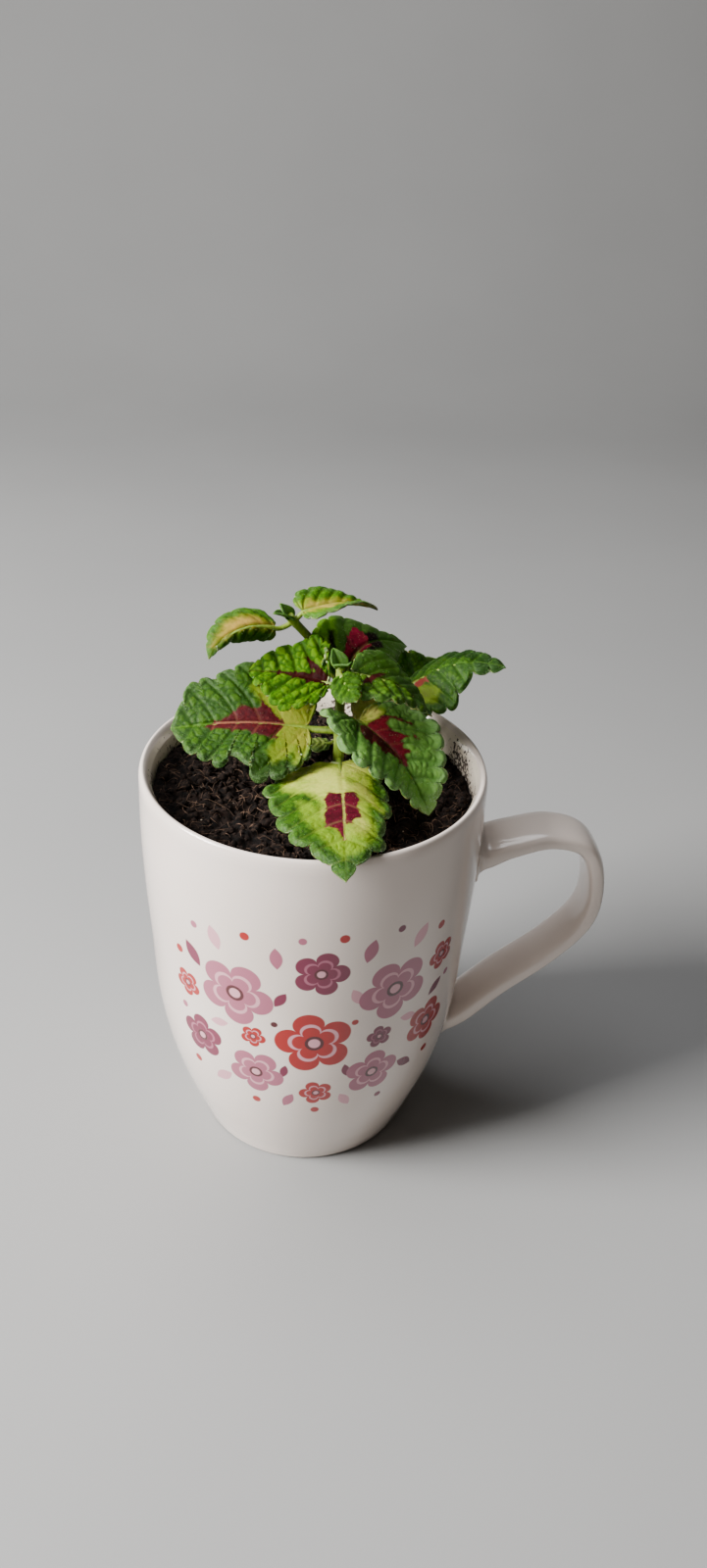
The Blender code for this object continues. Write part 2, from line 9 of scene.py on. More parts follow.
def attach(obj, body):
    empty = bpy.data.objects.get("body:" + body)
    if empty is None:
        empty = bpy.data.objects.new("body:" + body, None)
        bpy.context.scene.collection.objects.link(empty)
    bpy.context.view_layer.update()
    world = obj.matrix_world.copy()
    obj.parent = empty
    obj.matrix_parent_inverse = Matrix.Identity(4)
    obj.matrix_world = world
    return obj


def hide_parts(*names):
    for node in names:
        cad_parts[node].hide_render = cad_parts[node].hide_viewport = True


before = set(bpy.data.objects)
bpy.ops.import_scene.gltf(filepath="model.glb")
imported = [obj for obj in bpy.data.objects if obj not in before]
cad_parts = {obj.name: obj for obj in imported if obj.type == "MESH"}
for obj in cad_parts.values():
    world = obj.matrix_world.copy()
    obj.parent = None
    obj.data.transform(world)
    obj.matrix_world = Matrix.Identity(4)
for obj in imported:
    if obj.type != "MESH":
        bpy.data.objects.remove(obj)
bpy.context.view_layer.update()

# A young coleus in a white ceramic mug. Lengths in the tables are millimetres, angles degrees.
mm = 0.001

# Noise vectors start from the clock unless they are seeded, and they bend the soil's clods
noise.seed_set(7)
print("frame:", len(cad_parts), "nodes")


# A smooth line through points of any dimension, read at a share of its length
class SmoothPath:
    def __init__(self, points, marks=None):
        self.points = [Vector(point) for point in points]
        self.marks = marks
        if marks is None:
            self.marks = [0.0]
            for a, b in zip(self.points, self.points[1:]):
                self.marks.append(self.marks[-1] + math.sqrt((b - a).length))
            self.marks = [mark / self.marks[-1] for mark in self.marks]

    def slope(self, index):
        low = max(index - 1, 0)
        high = min(index + 1, len(self.points) - 1)
        return (self.points[high] - self.points[low]) / (self.marks[high] - self.marks[low])

    def at(self, share):
        last = len(self.marks) - 2
        index = next((i for i in range(last + 1) if share <= self.marks[i + 1]), last)
        width = self.marks[index + 1] - self.marks[index]
        part = (share - self.marks[index]) / width
        start, end = self.points[index], self.points[index + 1]
        startSlope, endSlope = self.slope(index) * width, self.slope(index + 1) * width
        square, cube = part ** 2, part ** 3
        return (start * (2 * cube - 3 * square + 1) + startSlope * (cube - 2 * square + part)
                + end * (3 * square - 2 * cube) + endSlope * (cube - square))


def deselectAll():
    if bpy.context.object and bpy.context.object.mode != "OBJECT":
        bpy.ops.object.mode_set(mode="OBJECT")
    bpy.ops.object.select_all(action="DESELECT")


# The first thing becomes the active one
def selectOnly(*things):
    deselectAll()
    for thing in things:
        thing.select_set(True)
    bpy.context.view_layer.objects.active = things[0]


def editAll(thing):
    selectOnly(thing)
    bpy.ops.object.mode_set(mode="EDIT")
    bpy.ops.mesh.select_all(action="SELECT")


def applyModifiers(thing):
    selectOnly(thing)
    for modifier in list(thing.modifiers):
        bpy.ops.object.modifier_apply(modifier=modifier.name)


def addObject(name, data):
    thing = bpy.data.objects.new(name, data)
    bpy.context.scene.collection.objects.link(thing)
    return thing


def addMesh(name, points, faces):
    mesh = bpy.data.meshes.new(name)
    mesh.from_pydata(points, [], faces)
    return addObject(name, mesh)


# A flat grid whose points are then moved: place takes the shares across and along
def shapedGrid(name, columns, rows, place):
    deselectAll()
    bpy.ops.mesh.primitive_grid_add(x_subdivisions=columns, y_subdivisions=rows, size=1)
    sheet = bpy.context.object
    sheet.name = name
    for vertex in sheet.data.vertices:
        vertex.co = place(vertex.co.x + 0.5, vertex.co.y + 0.5)
    return sheet


# A grid rolled into a tube, with its seam merged and its ends filled
def rolledTube(name, sides, rings, place):
    tube = shapedGrid(name, sides, rings, place)
    editAll(tube)
    bpy.ops.mesh.remove_doubles(threshold=0.000002)
    bpy.ops.mesh.fill_holes(sides=0)
    bpy.ops.mesh.normals_make_consistent(inside=False)
    bpy.ops.object.mode_set(mode="OBJECT")
    return tube


# A round tube along a line of points in millimetres, with a radius and a section at each share
def stalk(name, line, radiusAt, sides, rings, square=0.0):
    centres = [line(ring / rings) for ring in range(rings + 1)]
    frames = []
    across = None
    for ring, centre in enumerate(centres):
        along = (centres[min(ring + 1, rings)] - centres[max(ring - 1, 0)]).normalized()
        across = along.orthogonal().normalized() if across is None else across
        across = (across - along * across.dot(along)).normalized()
        frames.append((centre, across, along.cross(across)))

    def place(turnShare, share):
        centre, side, up = frames[min(rings, round(share * rings))]
        turn = 2 * math.pi * turnShare
        radius = radiusAt(share) * (1.0 + square * math.cos(4 * turn))
        return (centre + (side * math.cos(turn) + up * math.sin(turn)) * radius) * mm
    return rolledTube(name, sides, rings, place)


# Many copies of one small shape as a single mesh
def scatter(name, points, faces, places):
    allPoints, allFaces = [], []
    for place in places:
        first = len(allPoints)
        allPoints += [place @ point for point in points]
        allFaces += [[first + corner for corner in face] for face in faces]
    return addMesh(name, allPoints, allFaces)


# A smooth hump: 1 at the middle, falling away over the width on both sides
def hump(value, middle, width):
    return math.exp(-((value - middle) / width) ** 2)


# A socket that can be used in sums
class Signal:
    def __init__(self, finish, socket):
        self.finish = finish
        self.socket = socket

    def math(self, operation, *values):
        inputs = dict(enumerate((self, *values)))
        return self.finish.node("ShaderNodeMath", {"operation": operation}, inputs)

    def __add__(self, other):
        return self.math("ADD", other)

    def __mul__(self, other):
        return self.math("MULTIPLY", other)

    def __sub__(self, other):
        return self.math("SUBTRACT", other)

    def __rsub__(self, other):
        return self * -1.0 + other

    def __truediv__(self, other):
        return self.math("DIVIDE", other)

    def __pow__(self, other):
        return self.math("POWER", other)

    __radd__ = __add__

    def larger(self, other):
        return self.math("MAXIMUM", other)

    # 0 below the start, 1 above the end, smooth between
    def ramp(self, start, end):
        settings = {"interpolation_type": "SMOOTHSTEP"}
        return self.finish.node("ShaderNodeMapRange", settings, {0: self, 1: start, 2: end})


# A material with a Principled shader, and one method that adds any node
class Finish:
    def __init__(self, name, **constants):
        self.material = bpy.data.materials.new(name)
        self.material.use_nodes = True
        self.tree = self.material.node_tree
        self.shader = self.tree.nodes["Principled BSDF"]
        for socket, value in constants.items():
            self.shader.inputs[socket.replace("_", " ")].default_value = value

    def node(self, kind, settings, inputs, output=0):
        added = self.tree.nodes.new(kind)
        for setting, value in settings.items():
            setattr(added, setting, value)
        for socket, value in inputs.items():
            if isinstance(value, Signal):
                self.tree.links.new(value.socket, added.inputs[socket])
            else:
                added.inputs[socket].default_value = value
        return Signal(self, added.outputs[output])

    def feed(self, **sockets):
        for socket, signal in sockets.items():
            self.tree.links.new(signal.socket, self.shader.inputs[socket.replace("_", " ")])

    def place(self):
        return self.node("ShaderNodeTexCoord", {}, {}, "Object")

    def attribute(self, name):
        return self.node("ShaderNodeAttribute", {"attribute_name": name}, {}, "Fac")

    # Noise with features about size millimetres wide
    def noise(self, size, detail=2.0, roughness=0.5, vector=None):
        inputs = {"Vector": vector or self.place(), "Scale": 1.0 / (size * mm), "Detail": detail,
                  "Roughness": roughness}
        return self.node("ShaderNodeTexNoise", {}, inputs)

    def blend(self, first, second, factor):
        inputs = {0: factor}
        for socket, value in ((6, first), (7, second)):
            inputs[socket] = value if isinstance(value, Signal) else (*value, 1.0)
        return self.node("ShaderNodeMix", {"data_type": "RGBA"}, inputs, 2)

    def bump(self, height, distance, strength=1.0):
        inputs = {"Height": height, "Distance": distance * mm, "Strength": strength}
        return self.node("ShaderNodeBump", {}, inputs)


# Camera and light: the photograph looks down on the mug from the front, a little from the left
view = {"place": (-15.95, -251.45, 260.63), "heading": 5.89, "down": 31.90, "roll": 3.03,
        "focalPixels": 1210.0, "imageHeight": 1600, "sensor": 36.0}


def addCamera():
    camera = addObject("camera", bpy.data.cameras.new("camera"))
    turn = (Matrix.Rotation(math.radians(-view["heading"]), 4, "Z")
            @ Matrix.Rotation(math.radians(90 - view["down"]), 4, "X")
            @ Matrix.Rotation(math.radians(view["roll"]), 4, "Z"))
    camera.matrix_world = Matrix.Translation(Vector(view["place"]) * mm) @ turn
    camera.data.sensor_width = view["sensor"]
    camera.data.lens = view["sensor"] * view["focalPixels"] / view["imageHeight"]
    camera.data.clip_start = 0.01
    bpy.context.scene.camera = camera


studio = {"floorWidth": 3000, "wallStart": 700, "wallBend": 500, "floor": (0.31, 0.31, 0.31),
          "wear": 0.94, "sky": (1.0, 0.90, 0.78), "skyStrength": 0.035}
lamps = {
    "windowLight": {"place": (-880, -210, 600), "aim": (0, 0, 90), "size": (460, 560), "power": 44.0,
                    "color": (1.0, 0.985, 0.96)},
    "frontFill": {"place": (-260, -950, 300), "aim": (0, 0, 60), "size": (800, 500), "power": 0.5,
                  "color": (1.0, 0.90, 0.80)},
    "topLight": {"place": (-140, 140, 900), "aim": (0, 0, 110), "size": (600, 500), "power": 4.5,
                 "color": (0.97, 0.98, 1.0)},
}


def addStudio():
    half, start, bend = studio["floorWidth"] / 2, studio["wallStart"], studio["wallBend"]

    def place(across, along):
        x = (across - 0.5) * 2 * half
        y = -half + along * 2 * half
        past = max(0.0, y - start)
        turn = min(past / bend, math.pi / 2)
        z = bend * (1 - math.cos(turn)) + max(0.0, past - bend * math.pi / 2)
        return Vector((x, min(y, start) + bend * math.sin(turn), z)) * mm
    floor = shapedGrid("floor", 4, 60, place)
    floor.data.shade_smooth()
    paint = Finish("paleFloor", Roughness=0.6)
    worn = paint.noise(180, 3.0).ramp(0.2, 0.8)
    darker = tuple(studio["wear"] * value for value in studio["floor"])
    paint.feed(Base_Color=paint.blend(darker, studio["floor"], worn))
    floor.data.materials.append(paint.material)
    for name, lamp in lamps.items():
        light = bpy.data.lights.new(name, "AREA")
        light.shape = "RECTANGLE"
        light.size, light.size_y = (side * mm for side in lamp["size"])
        light.energy = lamp["power"]
        light.color = lamp["color"]
        thing = addObject(name, light)
        thing.location = Vector(lamp["place"]) * mm
        aim = Vector(lamp["aim"]) * mm - thing.location
        thing.rotation_euler = aim.to_track_quat("-Z", "Y").to_euler()
    world = bpy.data.worlds.new("studioSky")
    world.use_nodes = True
    sky = world.node_tree.nodes["Background"]
    sky.inputs["Color"].default_value = (*studio["sky"], 1.0)
    sky.inputs["Strength"].default_value = studio["skyStrength"]
    bpy.context.scene.world = world


# Mug: radius and height down the outer wall, the lip, the inside and the foot
mug = {
    "outside": [(43.0, 108.4), (43.2, 93.5), (42.7, 77.0), (41.7, 60.5), (40.8, 44.0), (38.8, 30.8),
                (36.1, 19.8), (33.2, 11.0), (31.2, 5.5), (29.8, 1.6), (28.9, 0.0)],
    "lip": [(40.0, 107.0), (40.9, 108.8), (41.4, 109.6), (42.0, 110.0), (42.6, 109.6), (43.0, 108.4)],
    "wall": 3.2, "floorTop": 5.5, "floorRadius": 24.0, "footInside": 24.0, "footRecess": 0.8,
    "sides": 192, "wallSteps": 54, "lipSteps": 18, "smoothAngle": 42,
    "insideHeights": (8.5, 12, 16, 22, 30, 40, 52, 64, 76, 88, 98),
}
handle = {
    "line": [(40.9, 83.4), (45.0, 84.2), (51.5, 86.7), (62.0, 89.0), (71.2, 85.9), (75.3, 76.2),
             (74.7, 63.0), (66.0, 51.2), (52.8, 39.6), (43.0, 29.8), (36.3, 25.6)],
    "halfThickness": [4.1, 3.7, 3.0, 2.6, 2.5, 2.5, 2.5, 2.6, 2.8, 3.0, 2.6],
    "halfWidth": [8.0, 7.7, 7.3, 7.0, 6.8, 6.7, 6.7, 6.8, 7.0, 7.2, 7.2],
    "roundness": 0.66, "fillet": 2.8, "sides": 44, "rings": 130,
}
outerWall = SmoothPath(mug["outside"])
outerSteps = [outerWall.at(step / mug["wallSteps"]) for step in range(mug["wallSteps"] + 1)]


# Radius of the outer wall at a height, read between the steps of its smooth line
def outerRadius(height):
    for upper, lower in zip(outerSteps, outerSteps[1:]):
        if lower.y <= height <= upper.y:
            part = (height - lower.y) / max(upper.y - lower.y, 1e-9)
            return lower.x + part * (upper.x - lower.x)
    return outerSteps[0].x if height > outerSteps[0].y else outerSteps[-1].x


def innerRadius(height):
    return max(mug["floorRadius"], outerRadius(height) - mug["wall"])


def mugProfile():
    inside = [(innerRadius(height), height) for height in mug["insideHeights"]]
    lip = SmoothPath(mug["lip"])
    lipSteps = [lip.at(step / mug["lipSteps"]) for step in range(mug["lipSteps"])]
    foot = mug["footInside"]
    return [(foot - 1.5, mug["floorTop"]), (foot - 0.3, mug["floorTop"] + 0.7), *inside, (39.8, 103.0),
            *lipSteps, *outerSteps[:-2], (29.6, 0.9), (29.2, 0.3), (28.5, 0.0),
            (foot + 0.9, 0.0), (foot + 0.2, 0.25), (foot - 0.4, mug["footRecess"])]


# One point is extruded along the profile and spun round; the two end rings are closed
def turnMug(name):
    profile = mugProfile()
    deselectAll()
    bpy.ops.mesh.primitive_plane_add(size=mm)
    body = bpy.context.object
    body.name = name
    bpy.ops.object.mode_set(mode="EDIT")
    bpy.ops.mesh.select_all(action="SELECT")
    bpy.ops.mesh.merge(type="CENTER")
    bpy.ops.transform.translate(value=(profile[0][0] * mm, 0.0, profile[0][1] * mm))
    for (radius, height), (nextRadius, nextHeight) in zip(profile, profile[1:]):
        step = ((nextRadius - radius) * mm, 0.0, (nextHeight - height) * mm)
        bpy.ops.mesh.extrude_region_move(TRANSFORM_OT_translate={"value": step})
    bpy.ops.mesh.select_all(action="SELECT")
    bpy.ops.mesh.spin(steps=mug["sides"], angle=2 * math.pi, center=(0, 0, 0), axis=(0, 0, 1))
    bpy.ops.mesh.select_all(action="SELECT")
    bpy.ops.mesh.remove_doubles(threshold=0.000005)
    bpy.ops.mesh.fill_holes(sides=0)
    bpy.ops.mesh.select_all(action="SELECT")
    bpy.ops.mesh.normals_make_consistent(inside=False)
    bpy.ops.object.mode_set(mode="OBJECT")
    return body


# The handle's section swells in a small fillet where it meets the wall
def bendHandle(name):
    centre = SmoothPath([(x, 0.0, z) for x, z in handle["line"]])
    sizes = SmoothPath(zip(handle["halfThickness"], handle["halfWidth"]), centre.marks)
    rings, round_ = handle["rings"], handle["roundness"]
    frames = []
    for ring in range(rings + 1):
        share = ring / rings
        ahead = centre.at(min(share + 0.01, 1.0)) - centre.at(max(share - 0.01, 0.0))
        normal = Vector((-ahead.z, 0.0, ahead.x)).normalized()
        frames.append((centre.at(share), normal, *sizes.at(share)))

    def place(turnShare, share):
        middle, normal, thick, wide = frames[round(share * rings)]
        turn = 2 * math.pi * turnShare
        out = math.copysign(abs(math.cos(turn)) ** round_, math.cos(turn))
        across = math.copysign(abs(math.sin(turn)) ** round_, math.sin(turn))
        point = middle + normal * thick * out + Vector((0.0, wide * across, 0.0))
        away = max(0.0, math.hypot(point.x, point.y) - outerRadius(point.z))
        fillet = handle["fillet"]
        if away < fillet:
            swell = fillet - math.sqrt(fillet ** 2 - (fillet - away) ** 2)
            lean = (outerRadius(point.z + 1) - outerRadius(point.z - 1)) / 2
            alongWall = Vector((lean, 0.0, 1.0)) * math.copysign(1.0, normal.z)
            point += (alongWall * math.cos(turn) + Vector((0.0, math.sin(turn), 0.0))) * swell
        return point * mm
    return rolledTube(name, handle["sides"], rings, place)


# The print is a loose garland: middle of each motif round the wall and up it, size, turn and inks
inks = {"dustyPink": (0.38, 0.11, 0.17), "lightPink": (0.66, 0.33, 0.38), "deepRose": (0.17, 0.012, 0.045),
        "brightRed": (0.36, 0.006, 0.004), "darkRed": (0.07, 0.003, 0.006)}
garland = {
    "blossoms": [
        (-20.5, 68.0, 10.0, 10, "dustyPink", "lightPink"), (-0.5, 55.0, 10.0, 40, "brightRed", "lightPink"),
        (19.5, 69.0, 9.6, 25, "dustyPink", "lightPink"), (32.0, 51.5, 7.0, 5, "brightRed", "lightPink"),
        (-31.5, 48.0, 6.6, 50, "deepRose", "dustyPink"), (-15.5, 42.5, 7.6, 15, "dustyPink", "lightPink"),
        (15.5, 41.5, 7.6, 60, "dustyPink", "lightPink"), (0.5, 78.0, 6.8, 0, "deepRose", "dustyPink"),
        (34.5, 72.5, 4.6, 30, "brightRed", "lightPink"), (-35.5, 63.5, 4.2, 20, "brightRed", "lightPink"),
        (16.5, 54.0, 3.6, 45, "deepRose", "dustyPink"), (-16.0, 55.0, 3.4, 10, "brightRed", "lightPink"),
        (0.5, 36.5, 4.6, 33, "brightRed", "lightPink"),
    ],
    "sprigs": [
        (-32.5, 75.0, 7.5, 125, "deepRose"), (-25.5, 83.5, 7.0, 110, "lightPink"),
        (-10.0, 82.0, 6.5, 95, "dustyPink"), (-9.0, 69.0, 5.5, 60, "deepRose"),
        (9.5, 69.5, 6.0, 115, "lightPink"), (12.0, 83.5, 7.0, 75, "dustyPink"),
        (25.5, 83.5, 7.0, 60, "lightPink"), (34.0, 62.0, 6.0, 40, "deepRose"),
        (26.0, 40.0, 6.5, -35, "deepRose"), (8.5, 32.5, 6.0, -60, "lightPink"),
        (-7.0, 33.0, 6.0, -115, "dustyPink"), (-25.5, 36.5, 7.0, -140, "lightPink"),
        (-25.5, 56.0, 5.5, 15, "lightPink"), (25.0, 57.0, 5.5, 165, "lightPink"),
        (-8.0, 44.5, 4.6, -100, "deepRose"), (8.0, 44.5, 4.6, -80, "deepRose"),
    ],
    "dots": [
        (-37.5, 73.5, 1.2, "brightRed"), (-31.5, 84.5, 1.0, "dustyPink"), (-17.5, 87.0, 1.2, "brightRed"),
        (-4.0, 88.0, 1.0, "dustyPink"), (5.5, 88.5, 1.2, "brightRed"), (19.5, 88.0, 1.0, "deepRose"),
        (32.5, 83.0, 1.2, "brightRed"), (38.5, 64.0, 1.0, "dustyPink"), (34.0, 40.0, 1.2, "brightRed"),
        (19.0, 30.5, 1.0, "deepRose"), (0.5, 29.0, 1.2, "brightRed"), (-16.0, 31.0, 1.2, "brightRed"),
        (-34.5, 37.5, 1.2, "brightRed"), (-37.5, 55.0, 1.0, "dustyPink"), (9.5, 61.0, 0.9, "brightRed"),
        (-10.5, 60.5, 0.9, "darkRed"),
    ],
    "wallRadius": 42.4, "petals": 5, "petalDip": 0.4, "heart": (0.66, 0.56), "eye": (0.24, 0.15),
    "sprigWidth": 0.24, "edge": 0.16,
}
glazeLooks = {
    "white": (0.80, 0.70, 0.635), "warm": (0.75, 0.645, 0.57), "clay": (0.60, 0.55, 0.48),
    "inside": (0.80, 0.71, 0.58), "speck": (0.055, 0.038, 0.03), "roughness": (0.12, 0.2),
    "clayBelow": 0.35, "insideAbove": 90.0, "insideRadius": 41.0, "speckLine": 101.5, "speckReach": 5.5,
    "speckSize": 0.9, "speckPatch": 11.0, "speckFrom": 0.455,
}


def glazeFinish():
    glaze = Finish("whiteGlaze", Coat_Weight=0.5, Coat_Roughness=0.06, IOR=1.5, Coat_IOR=1.5)
    place = glaze.place()
    split = glaze.node("ShaderNodeSeparateXYZ", {}, {0: place})
    x, y, z = (Signal(glaze, split.socket.node.outputs[axis]) * (1 / mm) for axis in range(3))
    around = x.math("ARCTAN2", y * -1.0) * garland["wallRadius"]
    radius = (x * x + y * y).math("SQRT")
    color = glaze.blend(glazeLooks["white"], glazeLooks["warm"], glaze.noise(40, 2.0).ramp(0.35, 0.75))
    color = printGarland(glaze, color, around, z)
    clay = (glazeLooks["clayBelow"] - z).ramp(-0.15, 0.15)
    color = glaze.blend(color, glazeLooks["clay"], clay)
    inner = (glazeLooks["insideRadius"] - radius).ramp(0.0, 0.2)
    inner = inner * (z - glazeLooks["insideAbove"]).ramp(0.0, 1.0)
    color = glaze.blend(color, glazeLooks["inside"], inner)
    level = (z - glazeLooks["speckLine"]) / glazeLooks["speckReach"]
    patch = (glaze.noise(glazeLooks["speckPatch"], 1.0) - 0.5) * 0.6
    grit = glaze.noise(glazeLooks["speckSize"], 3.0, 0.6) - level * 0.16 + patch
    specks = (grit - glazeLooks["speckFrom"]).ramp(0.0, 0.03) * inner
    color = glaze.blend(color, glazeLooks["speck"], specks)
    low, high = glazeLooks["roughness"]
    gloss = glaze.noise(6.0, 2.0) * (high - low) + low
    glaze.feed(Base_Color=color, Roughness=gloss.larger(clay * 0.75).larger(specks * 0.9),
               Normal=glaze.bump(glaze.noise(9.0, 1.0), 0.05, 0.35))
    return glaze.material


# The motifs of one ink are laid on together, the blossoms one by one from their petals inwards
def printGarland(glaze, color, around, z):
    edge = garland["edge"]
    for name, ink in inks.items():
        masks = [sprigMask(around - u, z - v, length, turn, edge)
                 for u, v, length, turn, sprigInk in garland["sprigs"] if sprigInk == name]
        for u, v, size, dotInk in garland["dots"]:
            if dotInk == name:
                away = ((around - u) ** 2 + (z - v) ** 2).math("SQRT")
                masks.append((size - away).ramp(-edge, edge))
        if masks:
            color = glaze.blend(color, ink, reduce(Signal.larger, masks))
    waves, dip = garland["petals"] / 2, garland["petalDip"]
    for u, v, size, turn, petalInk, heartInk in garland["blossoms"]:
        across, up = around - u, z - v
        away = (across * across + up * up).math("SQRT")
        wave = (up.math("ARCTAN2", across) * waves + math.radians(turn * waves)).math("COSINE")
        petal = (wave.math("ABSOLUTE") ** 0.55) * (size * dip) + size * (1 - dip)
        rings = [(petal, petalInk), (petal * garland["heart"][0], heartInk),
                 (petal * garland["heart"][1], petalInk), (size * garland["eye"][0], "darkRed"),
                 (size * garland["eye"][1], "lightPink")]
        for reach, ringInk in rings:
            color = glaze.blend(color, inks[ringInk], (reach - away).ramp(-edge, edge))
    return color


# A pointed leaf of the print, along its own line
def sprigMask(across, up, length, turn, edge):
    cosine, sine = math.cos(math.radians(turn)), math.sin(math.radians(turn))
    along = (across * cosine + up * sine) / (length / 2)
    aside = (up * cosine - across * sine).math("ABSOLUTE")
    return ((1.0 - along * along) * (length * garland["sprigWidth"]) - aside).ramp(-edge, edge)


def addMug():
    body = turnMug("mugBody")
    grip = bendHandle("mugHandle")
    join = body.modifiers.new("handle", "BOOLEAN")
    join.operation = "UNION"
    join.solver = "EXACT"
    join.object = grip
    applyModifiers(body)
    bpy.data.objects.remove(grip, do_unlink=True)
    selectOnly(body)
    bpy.ops.object.shade_smooth_by_angle(angle=math.radians(mug["smoothAngle"]))
    body.data.materials.clear()
    body.data.materials.append(glazeFinish())
    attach(body, "root")
    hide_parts("mug")
    print("mug:", len(body.data.polygons), "faces")


# Soil: the lie of its surface, its crumbs, its fibres and a few pale grains
soil = {"level": 102.3, "slope": -0.03, "lump": 0.45, "sideGap": 0.35, "cells": 210, "clod": 1.1,
        "grain": 0.6, "clodSize": 2.6, "grainSize": 1.1, "rim": 99.0,
        "depths": (76.0, 52.0, 30.0, 16.0, 8.5, 5.8), "crumbs": 1500, "crumbLump": (0.35, 1.7, 0.1),
        "grains": 46, "grainLump": (0.18, 0.55, 0.3), "fibres": 1000, "fibreLength": (1.2, 5.0),
        "fibreRadius": (0.04, 0.10), "fibreSteps": 6}

# The soil's colours: dark, light, size of the mottling and roughness
soilLooks = {"pottingSoil": ((0.0015, 0.001, 0.0008), (0.019, 0.0105, 0.0075), 1.6, 0.92),
             "soilCrumb": ((0.0015, 0.001, 0.0008), (0.03, 0.0175, 0.0125), 0.7, 0.95),
             "paleGrain": ((0.20, 0.15, 0.11), (0.42, 0.35, 0.27), 0.6, 0.85),
             "soilFibre": ((0.045, 0.028, 0.02), (0.22, 0.13, 0.085), 2.0, 0.9)}


def soilHeight(x, y):
    lumps = (math.sin(0.55 * x + 1.3) * math.cos(0.48 * y - 0.6)
             + 0.7 * math.sin(0.93 * x - 0.8 * y + 0.4)
             + 0.5 * math.cos(1.45 * x + 1.1 * y) * math.sin(1.2 * y - 0.7 * x + 2.0))
    return soil["level"] + soil["slope"] * x + soil["lump"] * lumps


# Fine relief on the soil: rounded clods, pits between them and small grains
def soilRelief(x, y):
    spot = Vector((x, y, 3.0))
    near = noise.voronoi(spot / soil["clodSize"] + noise.noise_vector(spot / 2.0) * 0.35)[0]
    small = noise.voronoi(spot / soil["grainSize"])[0]
    clods = (0.45 - near[0]) * soil["clod"] + (0.45 - small[0]) * soil["grain"]
    return clods + 0.25 * noise.fractal(spot / 0.9, 1.0, 2.0, 3) - 0.15


def soilTop(x, y):
    return soilHeight(x, y) + soilRelief(x, y)


def soilFinish(name):
    dark, light, size, roughness = soilLooks[name]
    earth = Finish(name, Roughness=roughness, Specular_IOR_Level=0.15)
    tone = earth.noise(size, 4.0, 0.65).ramp(0.38, 0.72)
    color = earth.blend(dark, light, tone)
    earth.feed(Base_Color=color, Normal=earth.bump(earth.noise(size * 0.4, 3.0, 0.7), 0.12, 0.8))
    return earth.material


def addSoil():
    outer = innerRadius(soil["rim"] - 1.0) - soil["sideGap"]

    def place(across, along):
        a, b = across * 2 - 1, along * 2 - 1
        x = a * math.sqrt(1 - b * b / 2) * outer
        y = b * math.sqrt(1 - a * a / 2) * outer
        inward = min(1.0, (outer - math.hypot(x, y)) / 1.5)
        return Vector((x, y, soilHeight(x, y) + soilRelief(x, y) * inward)) * mm
    body = shapedGrid("soilBody", soil["cells"], soil["cells"], place)
    editAll(body)
    bpy.ops.mesh.select_mode(type="EDGE")
    bpy.ops.mesh.select_non_manifold(extend=False)
    height, radius = soil["rim"], outer
    for lower in soil["depths"]:
        bpy.ops.mesh.extrude_region_move(TRANSFORM_OT_translate={"value": (0, 0, (lower - height) * mm)})
        scale = (innerRadius(lower) - soil["sideGap"]) / radius
        bpy.ops.transform.resize(value=(scale, scale, 0.0), center_override=(0, 0, lower * mm))
        height, radius = lower, radius * scale
    bpy.ops.mesh.fill_holes(sides=0)
    bpy.ops.mesh.select_all(action="SELECT")
    bpy.ops.mesh.normals_make_consistent(inside=False)
    bpy.ops.mesh.select_mode(type="VERT")
    bpy.ops.object.mode_set(mode="OBJECT")
    body.data.shade_smooth()
    body.data.materials.append(soilFinish("pottingSoil"))
    crumbs = addCrumbs(outer)
    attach(body, "root")
    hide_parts("soil")
    for piece in crumbs:
        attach(piece, "root")
    print("soil:", len(body.data.polygons), "faces")


